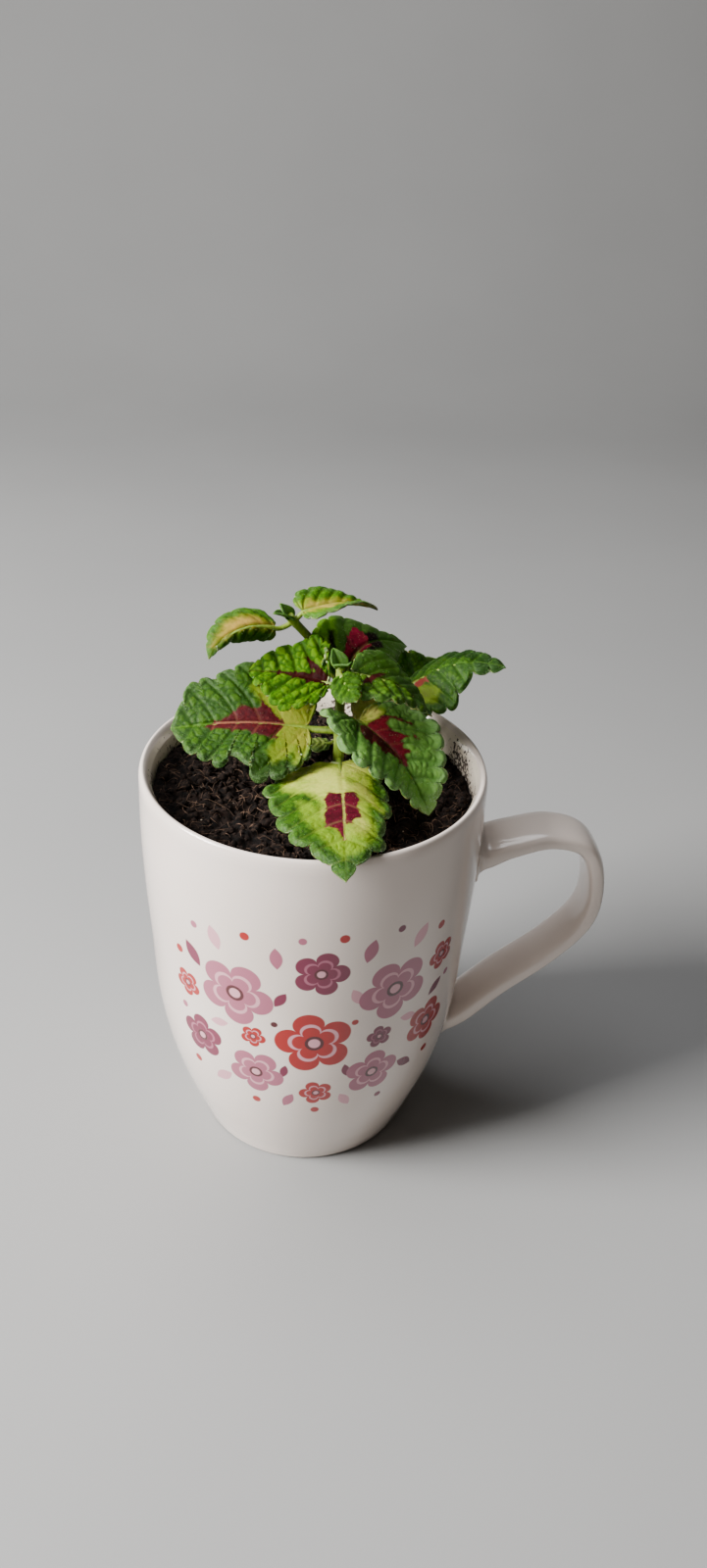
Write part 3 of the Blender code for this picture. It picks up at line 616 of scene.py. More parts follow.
# Crumbs, fibres and grains lie on the surface at random, always the same way
def addCrumbs(outer):
    rng = random.Random(11)
    deselectAll()
    bpy.ops.mesh.primitive_ico_sphere_add(subdivisions=2, radius=1.0)
    ball = bpy.context.object
    points = [vertex.co * (1 + 0.3 * noise.noise(vertex.co * 1.7)) for vertex in ball.data.vertices]
    faces = [list(face.vertices) for face in ball.data.polygons]
    bpy.data.objects.remove(ball, do_unlink=True)

    def spot():
        away = outer * 0.975 * math.sqrt(rng.random())
        turn = 2 * math.pi * rng.random()
        x, y = away * math.cos(turn), away * math.sin(turn)
        return Vector((x, y, soilTop(x, y)))

    def lump(low, high, sink):
        size = low + (high - low) * rng.random() ** 3
        shape = Matrix.Diagonal((size, size * (0.6 + 0.4 * rng.random()), size * 0.6, 1.0))
        lean = Vector([rng.uniform(-1, 1) for _ in range(3)])
        turn = Matrix.Rotation(2 * math.pi * rng.random(), 4, lean)
        return (Matrix.Scale(mm, 4) @ Matrix.Translation(spot() + Vector((0, 0, size * sink)))
                @ turn @ shape)
    lumps = [lump(*soil["crumbLump"]) for _ in range(soil["crumbs"])]
    crumbs = scatter("soilCrumbs", points, faces, lumps)
    crumbs.data.shade_smooth()
    crumbs.data.materials.append(soilFinish("soilCrumb"))
    lumps = [lump(*soil["grainLump"]) for _ in range(soil["grains"])]
    grains = scatter("soilGrains", points, faces, lumps)
    grains.data.materials.append(soilFinish("paleGrain"))
    strands = []
    for index in range(soil["fibres"]):
        start = spot()
        length = rng.uniform(*soil["fibreLength"])
        heading = 2 * math.pi * rng.random()
        bend = rng.uniform(-1.0, 1.0)
        rise = rng.uniform(0.0, 0.9)
        radius = rng.uniform(*soil["fibreRadius"])
        for ring in range(soil["fibreSteps"] + 1):
            share = ring / soil["fibreSteps"]
            turn = heading + bend * share
            x = start.x + math.cos(turn) * length * (share - 0.5)
            y = start.y + math.sin(turn) * length * (share - 0.5)
            if math.hypot(x, y) > outer - 0.4:
                break
            lift = soilHeight(x, y) + 0.35 * soilRelief(x, y) + 0.25 + rise * math.sin(math.pi * share)
            strands.append((index, Vector((x, y, lift)), turn, radius * (1.0 - 0.5 * abs(share - 0.4))))
    fibres = strandMesh("soilFibres", strands)
    fibres.data.materials.append(soilFinish("soilFibre"))
    return [crumbs, grains, fibres]


# Thin three-sided strands from rings of (strand, centre, heading, radius)
def strandMesh(name, rings):
    points, faces = [], []
    before = None
    for strand, centre, turn, radius in rings:
        first = len(points)
        side = Vector((-math.sin(turn), math.cos(turn), 0.0))
        for corner in range(3):
            angle = 2 * math.pi * corner / 3
            points.append((centre + side * math.cos(angle) * radius
                           + Vector((0, 0, math.sin(angle) * radius))) * mm)
        if before == strand:
            for corner in range(3):
                after = (corner + 1) % 3
                faces.append([first - 3 + corner, first - 3 + after, first + after, first + corner])
        before = strand
    thing = addMesh(name, points, faces)
    editAll(thing)
    bpy.ops.mesh.fill_holes(sides=3)
    bpy.ops.mesh.normals_make_consistent(inside=False)
    bpy.ops.object.mode_set(mode="OBJECT")
    return thing


# Stems: points up the middle, the radius at the foot and the tip, and the young leaves at the tip
stems = {
    "stem_main": {
        "line": [(5.7, -2.4, 72.0), (5.7, -2.4, 98.0), (5.7, -2.0, 112.0), (5.6, -1.2, 120.0),
                 (5.6, 0.3, 131.0), (5.7, 0.5, 136.0)],
        "radius": (1.5, 1.1),
        "buds": [{"heading": 115, "rise": 50, "length": 5.5},
                 {"heading": -70, "rise": 48, "length": 5.0}],
    },
    "stem_back": {
        "line": [(7.7, 19.5, 72.0), (7.7, 19.5, 98.0), (7.6, 19.2, 112.0), (6.8, 18.8, 122.0),
                 (1.5, 19.2, 131.2), (-6.3, 14.5, 142.3)],
        "radius": (1.3, 1.05),
        "buds": [{"heading": 215, "rise": 42, "length": 6.0},
                 {"heading": 150, "rise": 62, "length": 4.5}],
    },
}
stemLooks = {"swell": 1.12, "swellReach": 1.1, "square": 0.05, "sides": 28, "rings": 150, "budAt": 0.99,
             "hairsPerSquare": 0.9, "hairLength": 0.4, "light": (0.23, 0.32, 0.03),
             "green": (0.13, 0.21, 0.014), "blush": (0.22, 0.19, 0.04)}

# Half outline of a coleus blade: share of the length, share of the half width
bladeOutline = SmoothPath([(0.0, 0.0), (-0.05, 0.30), (-0.02, 0.62), (0.12, 0.92), (0.30, 1.0),
                           (0.50, 0.86), (0.70, 0.56), (0.87, 0.25), (1.0, 0.0)])

# Humps of the outline: where along the blade and how wide; the leaves say how high
outlineHumps = {"full": (0.72, 0.16), "waist": (0.5, 0.1), "lobe": (0.24, 0.17)}
leafBasics = {"stem": "stem_main", "turn": 0, "roll": 0, "twist": 0, "fold": (0, 0), "curl": (-20, -20),
              "lobe": (0.0, 0.0), "full": (0.0, 0.0), "waist": (0.0, 0.0), "skew": 0.0,
              "blunt": (0.04, 0.04), "teeth": 8, "toothDepth": 0.145, "veins": 6, "ribs": 0.35,
              "quilt": 1.0, "pucker": 1.0, "cushion": 1.7, "calm": (0.0, 0.0), "petiole": 0.85,
              "midrib": 1.0, "hairs": 1.0, "slot": "leaf_green", "red": [], "pale": [], "lime": [],
              "dark": [], "looks": {}}
budLeaf = {"droop": 30, "fold": (14, 14), "curl": (-8, -8), "teeth": 2, "toothDepth": 0.0,
           "quilt": 0.0, "halfWidth": 2.3, "pucker": 0.3, "ribs": 0.0, "blunt": (0.0, 0.0)}
leafRules = {"quiltHeight": 0.5, "padReach": 1.9, "rowLean": 1.8, "midribSteps": 40, "cell": 0.28,
             "thickness": 0.4, "budThickness": 0.45, "settleReach": 0.8, "calmReach": 1.5,
             "puckerHeight": 0.2, "fineHeight": 0.08, "fineShare": 0.45, "grooveDepth": 0.2,
             "grooveWidth": 0.4, "midribDepth": 0.35, "midribWidth": 0.5, "midribFade": 6.0,
             "rimDroop": 0.35, "rimWidth": 1.6, "sway": 1.1, "swaySize": 9.0, "veinLean": 0.4,
             "veinBend": 0.35, "veinFan": 0.55, "hairLength": 0.34, "hairRadius": 0.028,
             "hairsPerSquare": 0.6, "hairsAtEdge": 9.0, "edgeBand": 0.35, "stalkHairs": 1.6,
             "stalkHairLength": 0.45}
stalkRules = {"sink": 0.75, "seat": 0.6, "pull": 0.35, "reach": 0.85, "rib": 0.5, "sides": 14,
              "leastRings": 24, "ring": 0.9, "endRadius": 0.08}

# Each leaf: place, bend, outline and relief; its patches of colour are outlines in percent of the
# blade's length and half width, positive on its left
leaves = {
    "leaf_front": {
        "jointHeight": 112.2, "base": (5.8, -5.6, 112.7), "heading": -91, "rise": 8, "droop": 20,
        "turn": -2, "twist": 2, "length": 46.0, "halfWidth": 14.5, "fold": (-3, 0), "curl": (-34, -9),
        "lobe": (0.03, -0.07), "full": (0.19, 0.09), "skew": -0.21, "blunt": (-0.04, -0.04), "teeth": 10,
        "veins": 7, "midrib": 0.35, "slot": "leaf_yellow",
        "red": [[(34, -2), (33, -20), (38, -30), (46, -26), (53, -30), (61, -28), (63, -14), (71, -1)],
                [(33, 2), (32, 20), (39, 27), (45, 20), (53, 26), (56, 15), (60, 5), (60, 2)]],
        "pale": [[(2, -80), (-8, -20), (-8, 30), (-6, 60), (10, 48), (22, 46), (45, 62), (40, 36),
                  (53, 34), (59, 45), (68, 30), (70, 0), (62, -14), (56, -34), (44, -32), (35, -40),
                  (31, -62), (27, -92), (14, -92)]],
        "lime": [[(68, -20), (61, 6), (50, 44), (64, 52), (80, 26), (85, -4), (74, -30), (56, -62),
                  (38, -74), (40, -50)]],
        "looks": {"red": (0.12, 0.004, 0.018), "redDark": (0.045, 0.002, 0.006),
                  "redEdge": (0.14, 0.12, 0.01), "pale": (0.47, 0.51, 0.08),
                  "paleGreen": (0.22, 0.32, 0.015), "vein": (0.14, 0.19, 0.02),
                  "ribInRed": (0.36, 0.3, 0.1), "ribAmount": 0.1},
    },
    "leaf_left": {
        "jointHeight": 119.4, "base": (-2.1, 0.5, 119.5), "heading": 175, "rise": 7, "droop": 22,
        "roll": 2, "twist": -5, "length": 33.5, "halfWidth": 17.6, "fold": (-12, 41), "curl": (-22, -27),
        "full": (0.12, 0.15), "waist": (0.26, 0.0), "skew": -0.03, "blunt": (0.12, 0.22), "teeth": 11,
        "toothDepth": 0.12, "ribs": 0.12, "pucker": 1.5, "cushion": 2.2,
        "red": [[(74, 6), (64, -3), (53, -12), (48, -27), (39, -19), (30, -26), (24, -14), (17, 1),
                 (20, 12), (26, 27), (33, 25), (40, 18), (51, 14), (66, 10)],
                [(36, -44), (30, -22), (33, -24)],
                [(22, 27), (22, 33), (19, 26)]],
        "pale": [[(40, -56), (20, -54), (-4, -40), (-8, 0), (-4, 33), (5, 68), (6, 40), (13, 58),
                  (21, 68), (24, 55), (20, 35), (20, 12), (24, -14), (30, -26)]],
        # Painted shade: the dark patch darkens the hanging near lobe
        "dark": [[(38, 45), (26, 62), (16, 60), (6, 72), (-6, 75), (0, 110), (40, 100)]],
        "looks": {"green": (0.018, 0.058, 0.004), "deep": (0.011, 0.04, 0.002),
                  "red": (0.07, 0.004, 0.006), "pale": (0.23, 0.24, 0.025), "dark": (0.012, 0.038, 0.001),
                  "veinAmount": 0.1, "grain": 0.9},
    },
    "leaf_right": {
        "jointHeight": 121.2, "base": (10.2, -2.3, 122.7), "heading": -42, "rise": -9, "droop": 50,
        "turn": -11, "roll": -5, "twist": 14, "length": 29.5, "halfWidth": 15.3, "fold": (16, 26),
        "curl": (-15, -22), "lobe": (0.0, 0.16), "full": (0.02, -0.06), "teeth": 12, "toothDepth": 0.11,
        "pucker": 1.4, "cushion": 2.0,
        "red": [[(8, 2), (10, 30), (10, 42), (15, 42), (16, 28), (25, 23), (37, 38), (36, 22), (42, 16),
                 (48, 21), (46, 11), (58, 3), (52, -3), (40, -19), (37, -33), (29, -31), (25, -48),
                 (18, -46), (9, -25)],
                [(13, 43), (21, 58), (31, 66), (22, 50)],
                [(40, 43), (43, 49), (38, 48)]],
        "pale": [[(-10, -10), (-8, 29), (-2, 50), (8, 42), (10, 29), (7, 2)]],
        # Painted light: green, deep and pale are lighter copies of the leaf colours, standing for the light
        # that falls on this leaf
        "looks": {"green": (0.11, 0.24, 0.04), "deep": (0.065, 0.16, 0.025), "paintedSheen": (0.15, 0.24, 0.11),
                  "red": (0.15, 0.006, 0.014), "redDark": (0.06, 0.003, 0.007), "pale": (0.62, 0.6, 0.13),
                  "vein": (0.04, 0.11, 0.01), "paintedBacklightAmount": 0.12, "paintedSheenAmount": 0.9},
    },
    "leaf_back": {
        "jointHeight": 113.4, "base": (10.3, 7.0, 117.0), "heading": 48, "rise": 2, "droop": -2,
        "turn": 5, "roll": 4, "twist": 3, "length": 41.0, "halfWidth": 14.0, "fold": (34, 20),
        "curl": (-14, -14), "lobe": (-0.19, 0.0), "full": (0.14, -0.03), "skew": 0.03, "teeth": 11,
        "toothDepth": 0.11, "quilt": 0.8, "slot": "leaf_dark",
        "pale": [[(17, 45), (32, 14), (46, 3), (46, -18), (33, -60), (10, -45), (-8, 0), (5, 40)]],
        "looks": {"green": (0.022, 0.06, 0.003), "deep": (0.008, 0.024, 0.001),
                  # Painted light: pale and paleGreen are lightened far past the leaf's own cream so that
                  # its base strip reads as lit
                  "paintedSheen": (0.046, 0.086, 0.016), "pale": (0.82, 0.74, 0.32),
                  "paleGreen": (0.62, 0.58, 0.2)},
    },
    "leaf_upper_left": {
        "jointHeight": 130.9, "base": (2.9, 0.7, 131.3), "heading": 154, "rise": 5, "droop": 20,
        "turn": -2, "roll": -5, "twist": -7, "length": 21.8, "halfWidth": 11.7, "fold": (4, 30),
        "curl": (-21, -14), "lobe": (0.0, -0.15), "full": (-0.06, 0.03), "teeth": 9, "toothDepth": 0.12,
        "veins": 5, "quilt": 1.3, "pucker": 2.0, "cushion": 2.1, "midrib": 0.3, "hairs": 0.25,
        "red": [[(-6, 4), (10, -20), (20, -31), (39, -46), (27, -27), (19, -15), (29, -9), (48, -5),
                 (72, -1), (50, 3), (33, 9), (14, 13)]],
        "looks": {"green": (0.03, 0.095, 0.001), "deep": (0.012, 0.045, 0.001),
                  "red": (0.02, 0.002, 0.002), "redDark": (0.012, 0.001, 0.001),
                  "redEdge": (0.02, 0.04, 0.001), "vein": (0.02, 0.013, 0.003),
                  "ribInRed": (0.02, 0.003, 0.002), "paintedBacklight": (0.085, 0.17, 0.001), "paintedBacklightAmount": 0.5,
                  "ragged": 0.7, "paintedSheenAmount": 0.05, "grain": 0.4, "shine": 0.03},
    },
    "leaf_upper_right": {
        "jointHeight": 133.6, "base": (8.3, 0.1, 134.3), "heading": -16, "rise": 10, "droop": 66,
        "turn": -2, "roll": -8, "twist": -34, "length": 23.0, "halfWidth": 10.4, "fold": (20, -18),
        "curl": (-6, -12), "lobe": (-0.03, 0.0), "skew": 0.03, "teeth": 10, "toothDepth": 0.11,
        "quilt": 1.3, "pucker": 1.8, "cushion": 2.1, "calm": (0.55, 0.0), "midrib": 0.3, "hairs": 0.4,
        "red": [[(0, -10), (11, -42), (16, -17), (24, 10), (36, 30), (28, -6), (20, -32), (8, -55)]],
        "dark": [[(30, 20), (45, 12), (75, -30), (100, -20), (100, 30), (60, 60)]],
        "looks": {"green": (0.034, 0.085, 0.006), "deep": (0.02, 0.055, 0.004),
                  "red": (0.036, 0.003, 0.003), "redDark": (0.012, 0.001, 0.001),
                  "redEdge": (0.013, 0.026, 0.001), "dark": (0.022, 0.06, 0.006),
                  "vein": (0.016, 0.012, 0.002), "ribInRed": (0.02, 0.003, 0.002),
                  "paintedBacklight": (0.09, 0.19, 0.003), "paintedBacklightAmount": 0.35, "paintedSheenAmount": 0.3, "grain": 0.4,
                  "shine": 0.06},
    },
    "leaf_upper_back": {
        "jointHeight": 127.6, "base": (6.9, 8.2, 128.0), "heading": 76, "rise": 27, "droop": 63,
        "turn": -46, "roll": -5, "twist": -10, "length": 34.5, "halfWidth": 11.9, "fold": (38, -34),
        "curl": (6, -20), "lobe": (-0.12, 0.0), "full": (-0.24, 0.0), "teeth": 13, "toothDepth": 0.07,
        "calm": (0.5, 0.6), "slot": "leaf_dark",
        "red": [[(20, 16), (32, 27), (43, 38), (52, 48), (54, 32), (55, 14), (50, -8), (38, -16),
                 (22, -4)]],
        "lime": [[(-10, 20), (10, 36), (26, 46), (36, 66), (43, 86), (42, 120), (-20, 120)]],
        "dark": [[(52, 30), (68, 16), (62, -26), (44, -22), (48, 5)],
                 [(10, 25), (14, 40), (32, 76), (36, 66), (24, 40), (18, 20)]],
        "looks": {"green": (0.055, 0.125, 0.016), "deep": (0.035, 0.085, 0.01),
                  "paintedSheen": (0.07, 0.12, 0.04), "red": (0.24, 0.008, 0.03),
                  "redDark": (0.08, 0.004, 0.012), "redEdge": (0.02, 0.02, 0.004),
                  "lime": (0.15, 0.34, 0.004), "dark": (0.009, 0.003, 0.004), "vein": (0.03, 0.08, 0.004),
                  "shine": 0.05},
    },
    "leaf_small_front": {
        "jointHeight": 134.6, "base": (5.3, -4.6, 136.1), "heading": -73, "rise": -14, "droop": -8,
        "roll": 12, "twist": 5, "length": 10.2, "halfWidth": 4.2, "fold": (-9, -20), "curl": (-20, -24),
        "full": (0.0, 0.12), "skew": -0.08, "teeth": 5, "veins": 4, "quilt": 0.8, "pucker": 1.2,
        "cushion": 1.3, "petiole": 0.55, "midrib": 0.2, "hairs": 0.25,
        "looks": {"green": (0.019, 0.06, 0.002), "paintedSheen": (0.08, 0.14, 0.03), "vein": (0.03, 0.08, 0.003),
                  "paintedSheenAmount": 0.2, "shine": 0.05},
    },
    "leaf_far_right": {
        "stem": "stem_back", "jointHeight": 124.4, "base": (24.2, 14.1, 123.6), "heading": -10,
        "rise": 52, "droop": 66, "turn": -6, "roll": 4, "twist": 8, "length": 26.5, "halfWidth": 11.8,
        "fold": (-2, -22), "curl": (-38, -32), "full": (0.0, -0.25), "toothDepth": 0.17, "midrib": 0.4,
        "red": [[(-2, 5), (10, 2), (20, -8), (20, -17), (11, -20), (2, -14)]],
        "pale": [[(-8, 0), (8, -23), (20, -34), (27, -52), (19, -66), (0, -45)]],
        "dark": [[(45, 30), (66, 12), (70, -16), (82, -50), (105, -30), (105, 30), (60, 100), (30, 110)]],
        "looks": {"green": (0.014, 0.048, 0.003), "paintedSheen": (0.05, 0.1, 0.03), "red": (0.2, 0.03, 0.02),
                  "redDark": (0.11, 0.012, 0.009), "redEdge": (0.12, 0.09, 0.01),
                  "pale": (0.1, 0.13, 0.006), "dark": (0.008, 0.03, 0.002), "ribAmount": 0.3},
    },
    "leaf_far_left": {
        "stem": "stem_back", "jointHeight": 124.6, "base": (-1.0, 21.5, 125.0), "heading": 112,
        "rise": 14, "droop": 35, "length": 15.5, "halfWidth": 6.8, "fold": (8, 8), "teeth": 7,
        "quilt": 0.8, "petiole": 0.7, "slot": "leaf_dark",
    },
    "leaf_top_left": {
        "stem": "stem_back", "jointHeight": 140.8, "base": (-9.9, 13.9, 139.8), "heading": 200,
        "rise": 27, "droop": 94, "roll": -10, "twist": -12, "length": 20.2, "halfWidth": 6.9,
        "fold": (-42, 15), "curl": (-118, -24), "full": (-0.3, 0.08), "skew": -0.06, "teeth": 7,
        "quilt": 0.6, "pucker": 0.7, "petiole": 0.6,
        "pale": [[(84, -10), (68, -24), (56, -44), (38, -46), (24, -40), (13, -16), (-8, -10), (-8, 10),
                  (30, 3), (66, -2)]],
        # Painted shade: the dark patch darkens the whole near half, which hangs curled under in shade
        "dark": [[(-10, 8), (30, 3), (75, 0), (70, 90), (20, 120), (-15, 80)]],
        "looks": {"green": (0.04, 0.12, 0.002), "deep": (0.015, 0.055, 0.001),
                  "pale": (0.36, 0.23, 0.045), "paleGreen": (0.16, 0.15, 0.01),
                  "dark": (0.018, 0.055, 0.001), "vein": (0.08, 0.13, 0.005), "shine": 0.06},
    },
    "leaf_top_right": {
        "stem": "stem_back", "jointHeight": 140.7, "base": (-2.9, 15.3, 143.4), "heading": 18, "rise": 19,
        "droop": 48, "turn": -4, "roll": 5, "twist": -30, "length": 20.3, "halfWidth": 8.0,
        "fold": (24, 10), "curl": (-18, 0), "teeth": 7, "quilt": 0.6, "pucker": 0.7, "petiole": 0.6,
        "pale": [[(2, -10), (5, 18), (14, 30), (20, 14), (43, 14), (70, 3), (48, -30), (28, -60),
                  (10, -30)]],
        "lime": [[(-10, -30), (-10, 45), (8, 35), (10, -20)]],
        "looks": {"green": (0.045, 0.13, 0.002), "deep": (0.018, 0.065, 0.001),
                  "pale": (0.34, 0.25, 0.05), "paleGreen": (0.16, 0.17, 0.01), "vein": (0.1, 0.16, 0.008),
                  "shine": 0.06},
    },
    "leaf_at_soil": {
        "stem": "stem_back", "jointHeight": 105.0, "base": (4.6, 18.2, 104.8), "heading": 176, "rise": 6,
        "droop": 22, "length": 9.0, "halfWidth": 3.6, "teeth": 5, "quilt": 0.5, "pucker": 0.6,
        "petiole": 0.5, "slot": "leaf_yellow",
        "lime": [[(0, -50), (50, -70), (90, 0), (50, 70), (0, 50)]],
        "looks": {"green": (0.066, 0.12, 0.01), "lime": (0.185, 0.24, 0.046)},
    },
}


# The midrib of a leaf: point, forward, left and up at even steps
class Midrib:
    def __init__(self, leaf):
        self.leaf = leaf
        self.frames = []
        self.steps = leafRules["midribSteps"]
        point = Vector(leaf["base"])
        for step in range(self.steps + 1):
            share = step / self.steps
            heading = math.radians(leaf["heading"] + leaf["turn"] * share)
            pitch = math.radians(leaf["rise"] - leaf["droop"] * share)
            forward = Vector((math.cos(heading) * math.cos(pitch),
                              math.sin(heading) * math.cos(pitch), math.sin(pitch)))
            left = Vector((-math.sin(heading), math.cos(heading), 0.0))
            up = forward.cross(left)
            roll = math.radians(leaf["roll"] + leaf["twist"] * share)
            tiltedLeft = left * math.cos(roll) + up * math.sin(roll)
            tiltedUp = up * math.cos(roll) - left * math.sin(roll)
            if step:
                point = point + (self.frames[-1][1] + forward) * (leaf["length"] / self.steps / 2)
            self.frames.append((point, forward, tiltedLeft, tiltedUp))

    def frame(self, distance):
        place = max(0.0, min(distance / self.leaf["length"], 1.0)) * self.steps
        index = min(int(place), self.steps - 1)
        part = place - index
        mixed = [a.lerp(b, part) for a, b in zip(self.frames[index], self.frames[index + 1])]
        mixed[0] = mixed[0] + mixed[1] * min(distance, 0.0)
        return mixed

    # A flat leaf position, forward and across, laid on the bent and folded blade
    def place(self, distance, across, lift=0.0):
        leaf = self.leaf
        point, _, left, up = self.frame(distance)
        side = 0 if across >= 0 else 1
        fold = math.radians(leaf["fold"][side])
        bend = math.radians(leaf["curl"][side]) / leaf["halfWidth"]
        bend = bend if abs(bend) > 1e-6 else 1e-6
        width = abs(across)
        tilt = fold + bend * width
        outward = (math.sin(tilt) - math.sin(fold)) / bend - lift * math.sin(tilt)
        upward = (math.cos(fold) - math.cos(tilt)) / bend + lift * math.cos(tilt)
        return point + left * outward * (1.0 if side == 0 else -1.0) + up * upward


# The plain margin of a blade, before its teeth
def bladeMargin(leaf, share, side):
    x, y = bladeOutline.at(share)
    swell = hump(x, *outlineHumps["full"]) if x > 0 else 0.0
    y += leaf["full"][side] * swell - leaf["waist"][side] * hump(x, *outlineHumps["waist"])
    y += leaf["blunt"][side] * math.sin(math.pi * max(0.0, min((x - 0.7) / 0.3, 1.0)))
    x -= leaf["lobe"][side] * hump(share, *outlineHumps["lobe"])
    skew = 1.0 + leaf["skew"] * (1 if side == 0 else -1)
    return Vector((x * leaf["length"], y * leaf["halfWidth"] * skew))


# Where a row of the blade starts on the midrib and ends on the toothed margin
def bladeRow(leaf, share, side):
    edge = bladeMargin(leaf, share, side)
    ahead, behind = (bladeMargin(leaf, max(0.0, min(share + step, 1.0)), side) for step in (0.01, -0.01))
    along = ahead - behind
    outward = Vector((-along.y, along.x)).normalized()
    number, phase = divmod(share * leaf["teeth"], 1.0)
    fade = min(1.0, edge.y / (0.2 * leaf["halfWidth"]), (share / 0.35) ** 2, 6 * (1 - share))
    uneven = 1.0 + 0.25 * math.sin(2.6 * number + 1.7 * side + leaf["length"])
    scallop = math.sqrt(max(0.0, 1.0 - (2.0 * phase - 1.0) ** 2)) * uneven - 0.6
    edge += outward * leaf["toothDepth"] * leaf["halfWidth"] * scallop * fade
    breadth = min(1.0, edge.y / (0.45 * leaf["halfWidth"]))
    return leaf["length"] * share ** leafRules["rowLean"], edge.x, max(edge.y, 0.0), max(breadth, 0.0)


# How far inside the nearest outline a flat leaf position lies; below 0 outside them all
def depthInside(outlines, x, y):
    best = -20.0
    for corners in outlines:
        inside, nearest = False, 1e9
        for (ax, ay), (bx, by) in zip(corners, corners[1:] + corners[:1]):
            wx, wy, px, py = bx - ax, by - ay, x - ax, y - ay
            part = max(0.0, min(1.0, (px * wx + py * wy) / (wx * wx + wy * wy + 1e-12)))
            nearest = min(nearest, (px - wx * part) ** 2 + (py - wy * part) ** 2)
            if (ay > y) != (by > y) and x < ax + (y - ay) * wx / wy:
                inside = not inside
        best = max(best, math.sqrt(nearest) * (1 if inside else -1))
    return best


# Side veins leave the midrib and bend forward, and fan out from its base over the lobes: the count
# of veins passed up to a flat leaf position, and how far the nearest one is
def veinPlace(leaf, forward, aside):
    lean, bend, fan = leafRules["veinLean"], leafRules["veinBend"], leafRules["veinFan"]
    along = forward - lean * aside - bend * aside * aside / leaf["halfWidth"]
    if along >= 0:
        turn = along / leaf["length"] * leaf["veins"]
        span = 0.8 * leaf["length"] / leaf["veins"]
    else:
        first = math.atan2(1.0, lean + bend * aside / leaf["halfWidth"])
        turn = (math.atan2(aside, forward) - first) / fan
        span = fan * math.hypot(forward, aside)
    return turn, abs(turn - round(turn)) * span


# Rounded cushions between a net of grooves: 1 on a cushion and 0 in a groove
def cushionAt(spot):
    near = noise.voronoi(spot)[0]
    rise = min(1.0, (near[1] - near[0]) * 1.9)
    return rise * (2 - rise)


patches = ("red", "pale", "lime", "dark")


# A fine blade: the solid's own form, with sunken veins, puckers and the fields that its colours follow
def fineBlade(name, leaf, seed):
    midrib = Midrib(leaf)
    rules = leafRules
    cell = rules["cell"]
    perTooth = max(8, round(1.25 * leaf["length"] / cell / leaf["teeth"]))
    rows = leaf["teeth"] * perTooth
    columns = 2 * max(8, round(leaf["halfWidth"] / cell))
    table = {}
    for row in range(rows + 1):
        for side in (0, 1):
            table[row, side] = bladeRow(leaf, row / rows, side)
    areas = {key: [[(a / 100 * leaf["length"], b / 100 * leaf["halfWidth"]) for a, b in outline]
                   for outline in leaf[key]] for key in patches}
    fields = {key: [] for key in (*patches, "vein", "edge", "relief", "rib", "pillow")}
    shift = Vector((17.3 * seed, 5.1 * seed, 2.7 * seed))

    def place(across, along):
        signed = 1.0 - 2.0 * across
        side = 0 if signed >= 0 else 1
        column = abs(signed)
        row = round(along * rows)
        start, x, y, breadth = table[row, side]
        forward = start + (x - start) * column
        aside = y * column
        turn, veinAway = veinPlace(leaf, forward, aside)
        edgeAway = y * (1.0 - column) if y > 0 else 0.0
        settle = min(1.0, edgeAway / rules["settleReach"])
        pad = abs(math.sin(math.pi * row / perTooth))
        pillow = abs(math.sin(math.pi * turn))
        firm = 1.0 - leaf["calm"][side]
        signedAside = aside if side == 0 else -aside
        for key in patches:
            fields[key].append(depthInside(areas[key], forward, signedAside))
        patched = max(fields["pale"][-1], fields["red"][-1])
        calm = max(0.0, min(1.0, patched / rules["calmReach"] + 0.5))
        outer = math.exp(-(edgeAway / rules["padReach"] - 0.6) ** 2 / 0.25)
        lift = rules["quiltHeight"] * leaf["quilt"] * firm * breadth * pad * outer * settle
        middle = math.sin(math.pi * (0.1 + 0.9 * column)) ** 0.7
        lift += leaf["ribs"] * firm * (1 - 0.6 * calm) * breadth ** 2 * (pillow - 0.6) * middle
        flat = Vector((forward, signedAside, 0.0))
        cushion = cushionAt(flat / leaf["cushion"] + shift)
        fine = cushionAt(flat / (rules["fineShare"] * leaf["cushion"]) + shift)
        groove = hump(veinAway, 0.0, rules["grooveWidth"])
        channel = hump(aside, 0.0, rules["midribWidth"])
        scale = leaf["pucker"] * firm * breadth * (1 - 0.75 * calm)
        lift += scale * (1 - groove) * (rules["puckerHeight"] * (cushion - 0.5)
                                        + rules["fineHeight"] * (fine - 0.5))
        lift -= rules["grooveDepth"] * scale * groove * settle
        toTip = min(1.0, (leaf["length"] - forward) / rules["midribFade"])
        lift -= rules["midribDepth"] * leaf["midrib"] * channel * toTip
        lift -= rules["rimDroop"] * scale * pad * max(0.0, 1 - edgeAway / rules["rimWidth"]) ** 2
        wave = noise.noise(flat / rules["swaySize"] + shift)
        lift += rules["sway"] * leaf["pucker"] * breadth * column * wave
        fields["vein"].append(veinAway)
        fields["edge"].append(edgeAway)
        # relief and pillow hold the cushion and pad heights, which the top colour uses for painted shade in
        # the grooves and painted backlight on the tops
        fields["relief"].append(cushion * firm)
        fields["rib"].append(aside)
        fields["pillow"].append(pillow * firm)
        return midrib.place(forward, signedAside, lift) * mm
    blade = shapedGrid(name, columns, rows, place)
    for key, values in fields.items():
        layer = blade.data.attributes.new(key, "FLOAT", "POINT")
        layer.data.foreach_set("value", values)
    editAll(blade)
    bpy.ops.mesh.remove_doubles(threshold=0.000004)
    bpy.ops.object.mode_set(mode="OBJECT")
    return blade, midrib


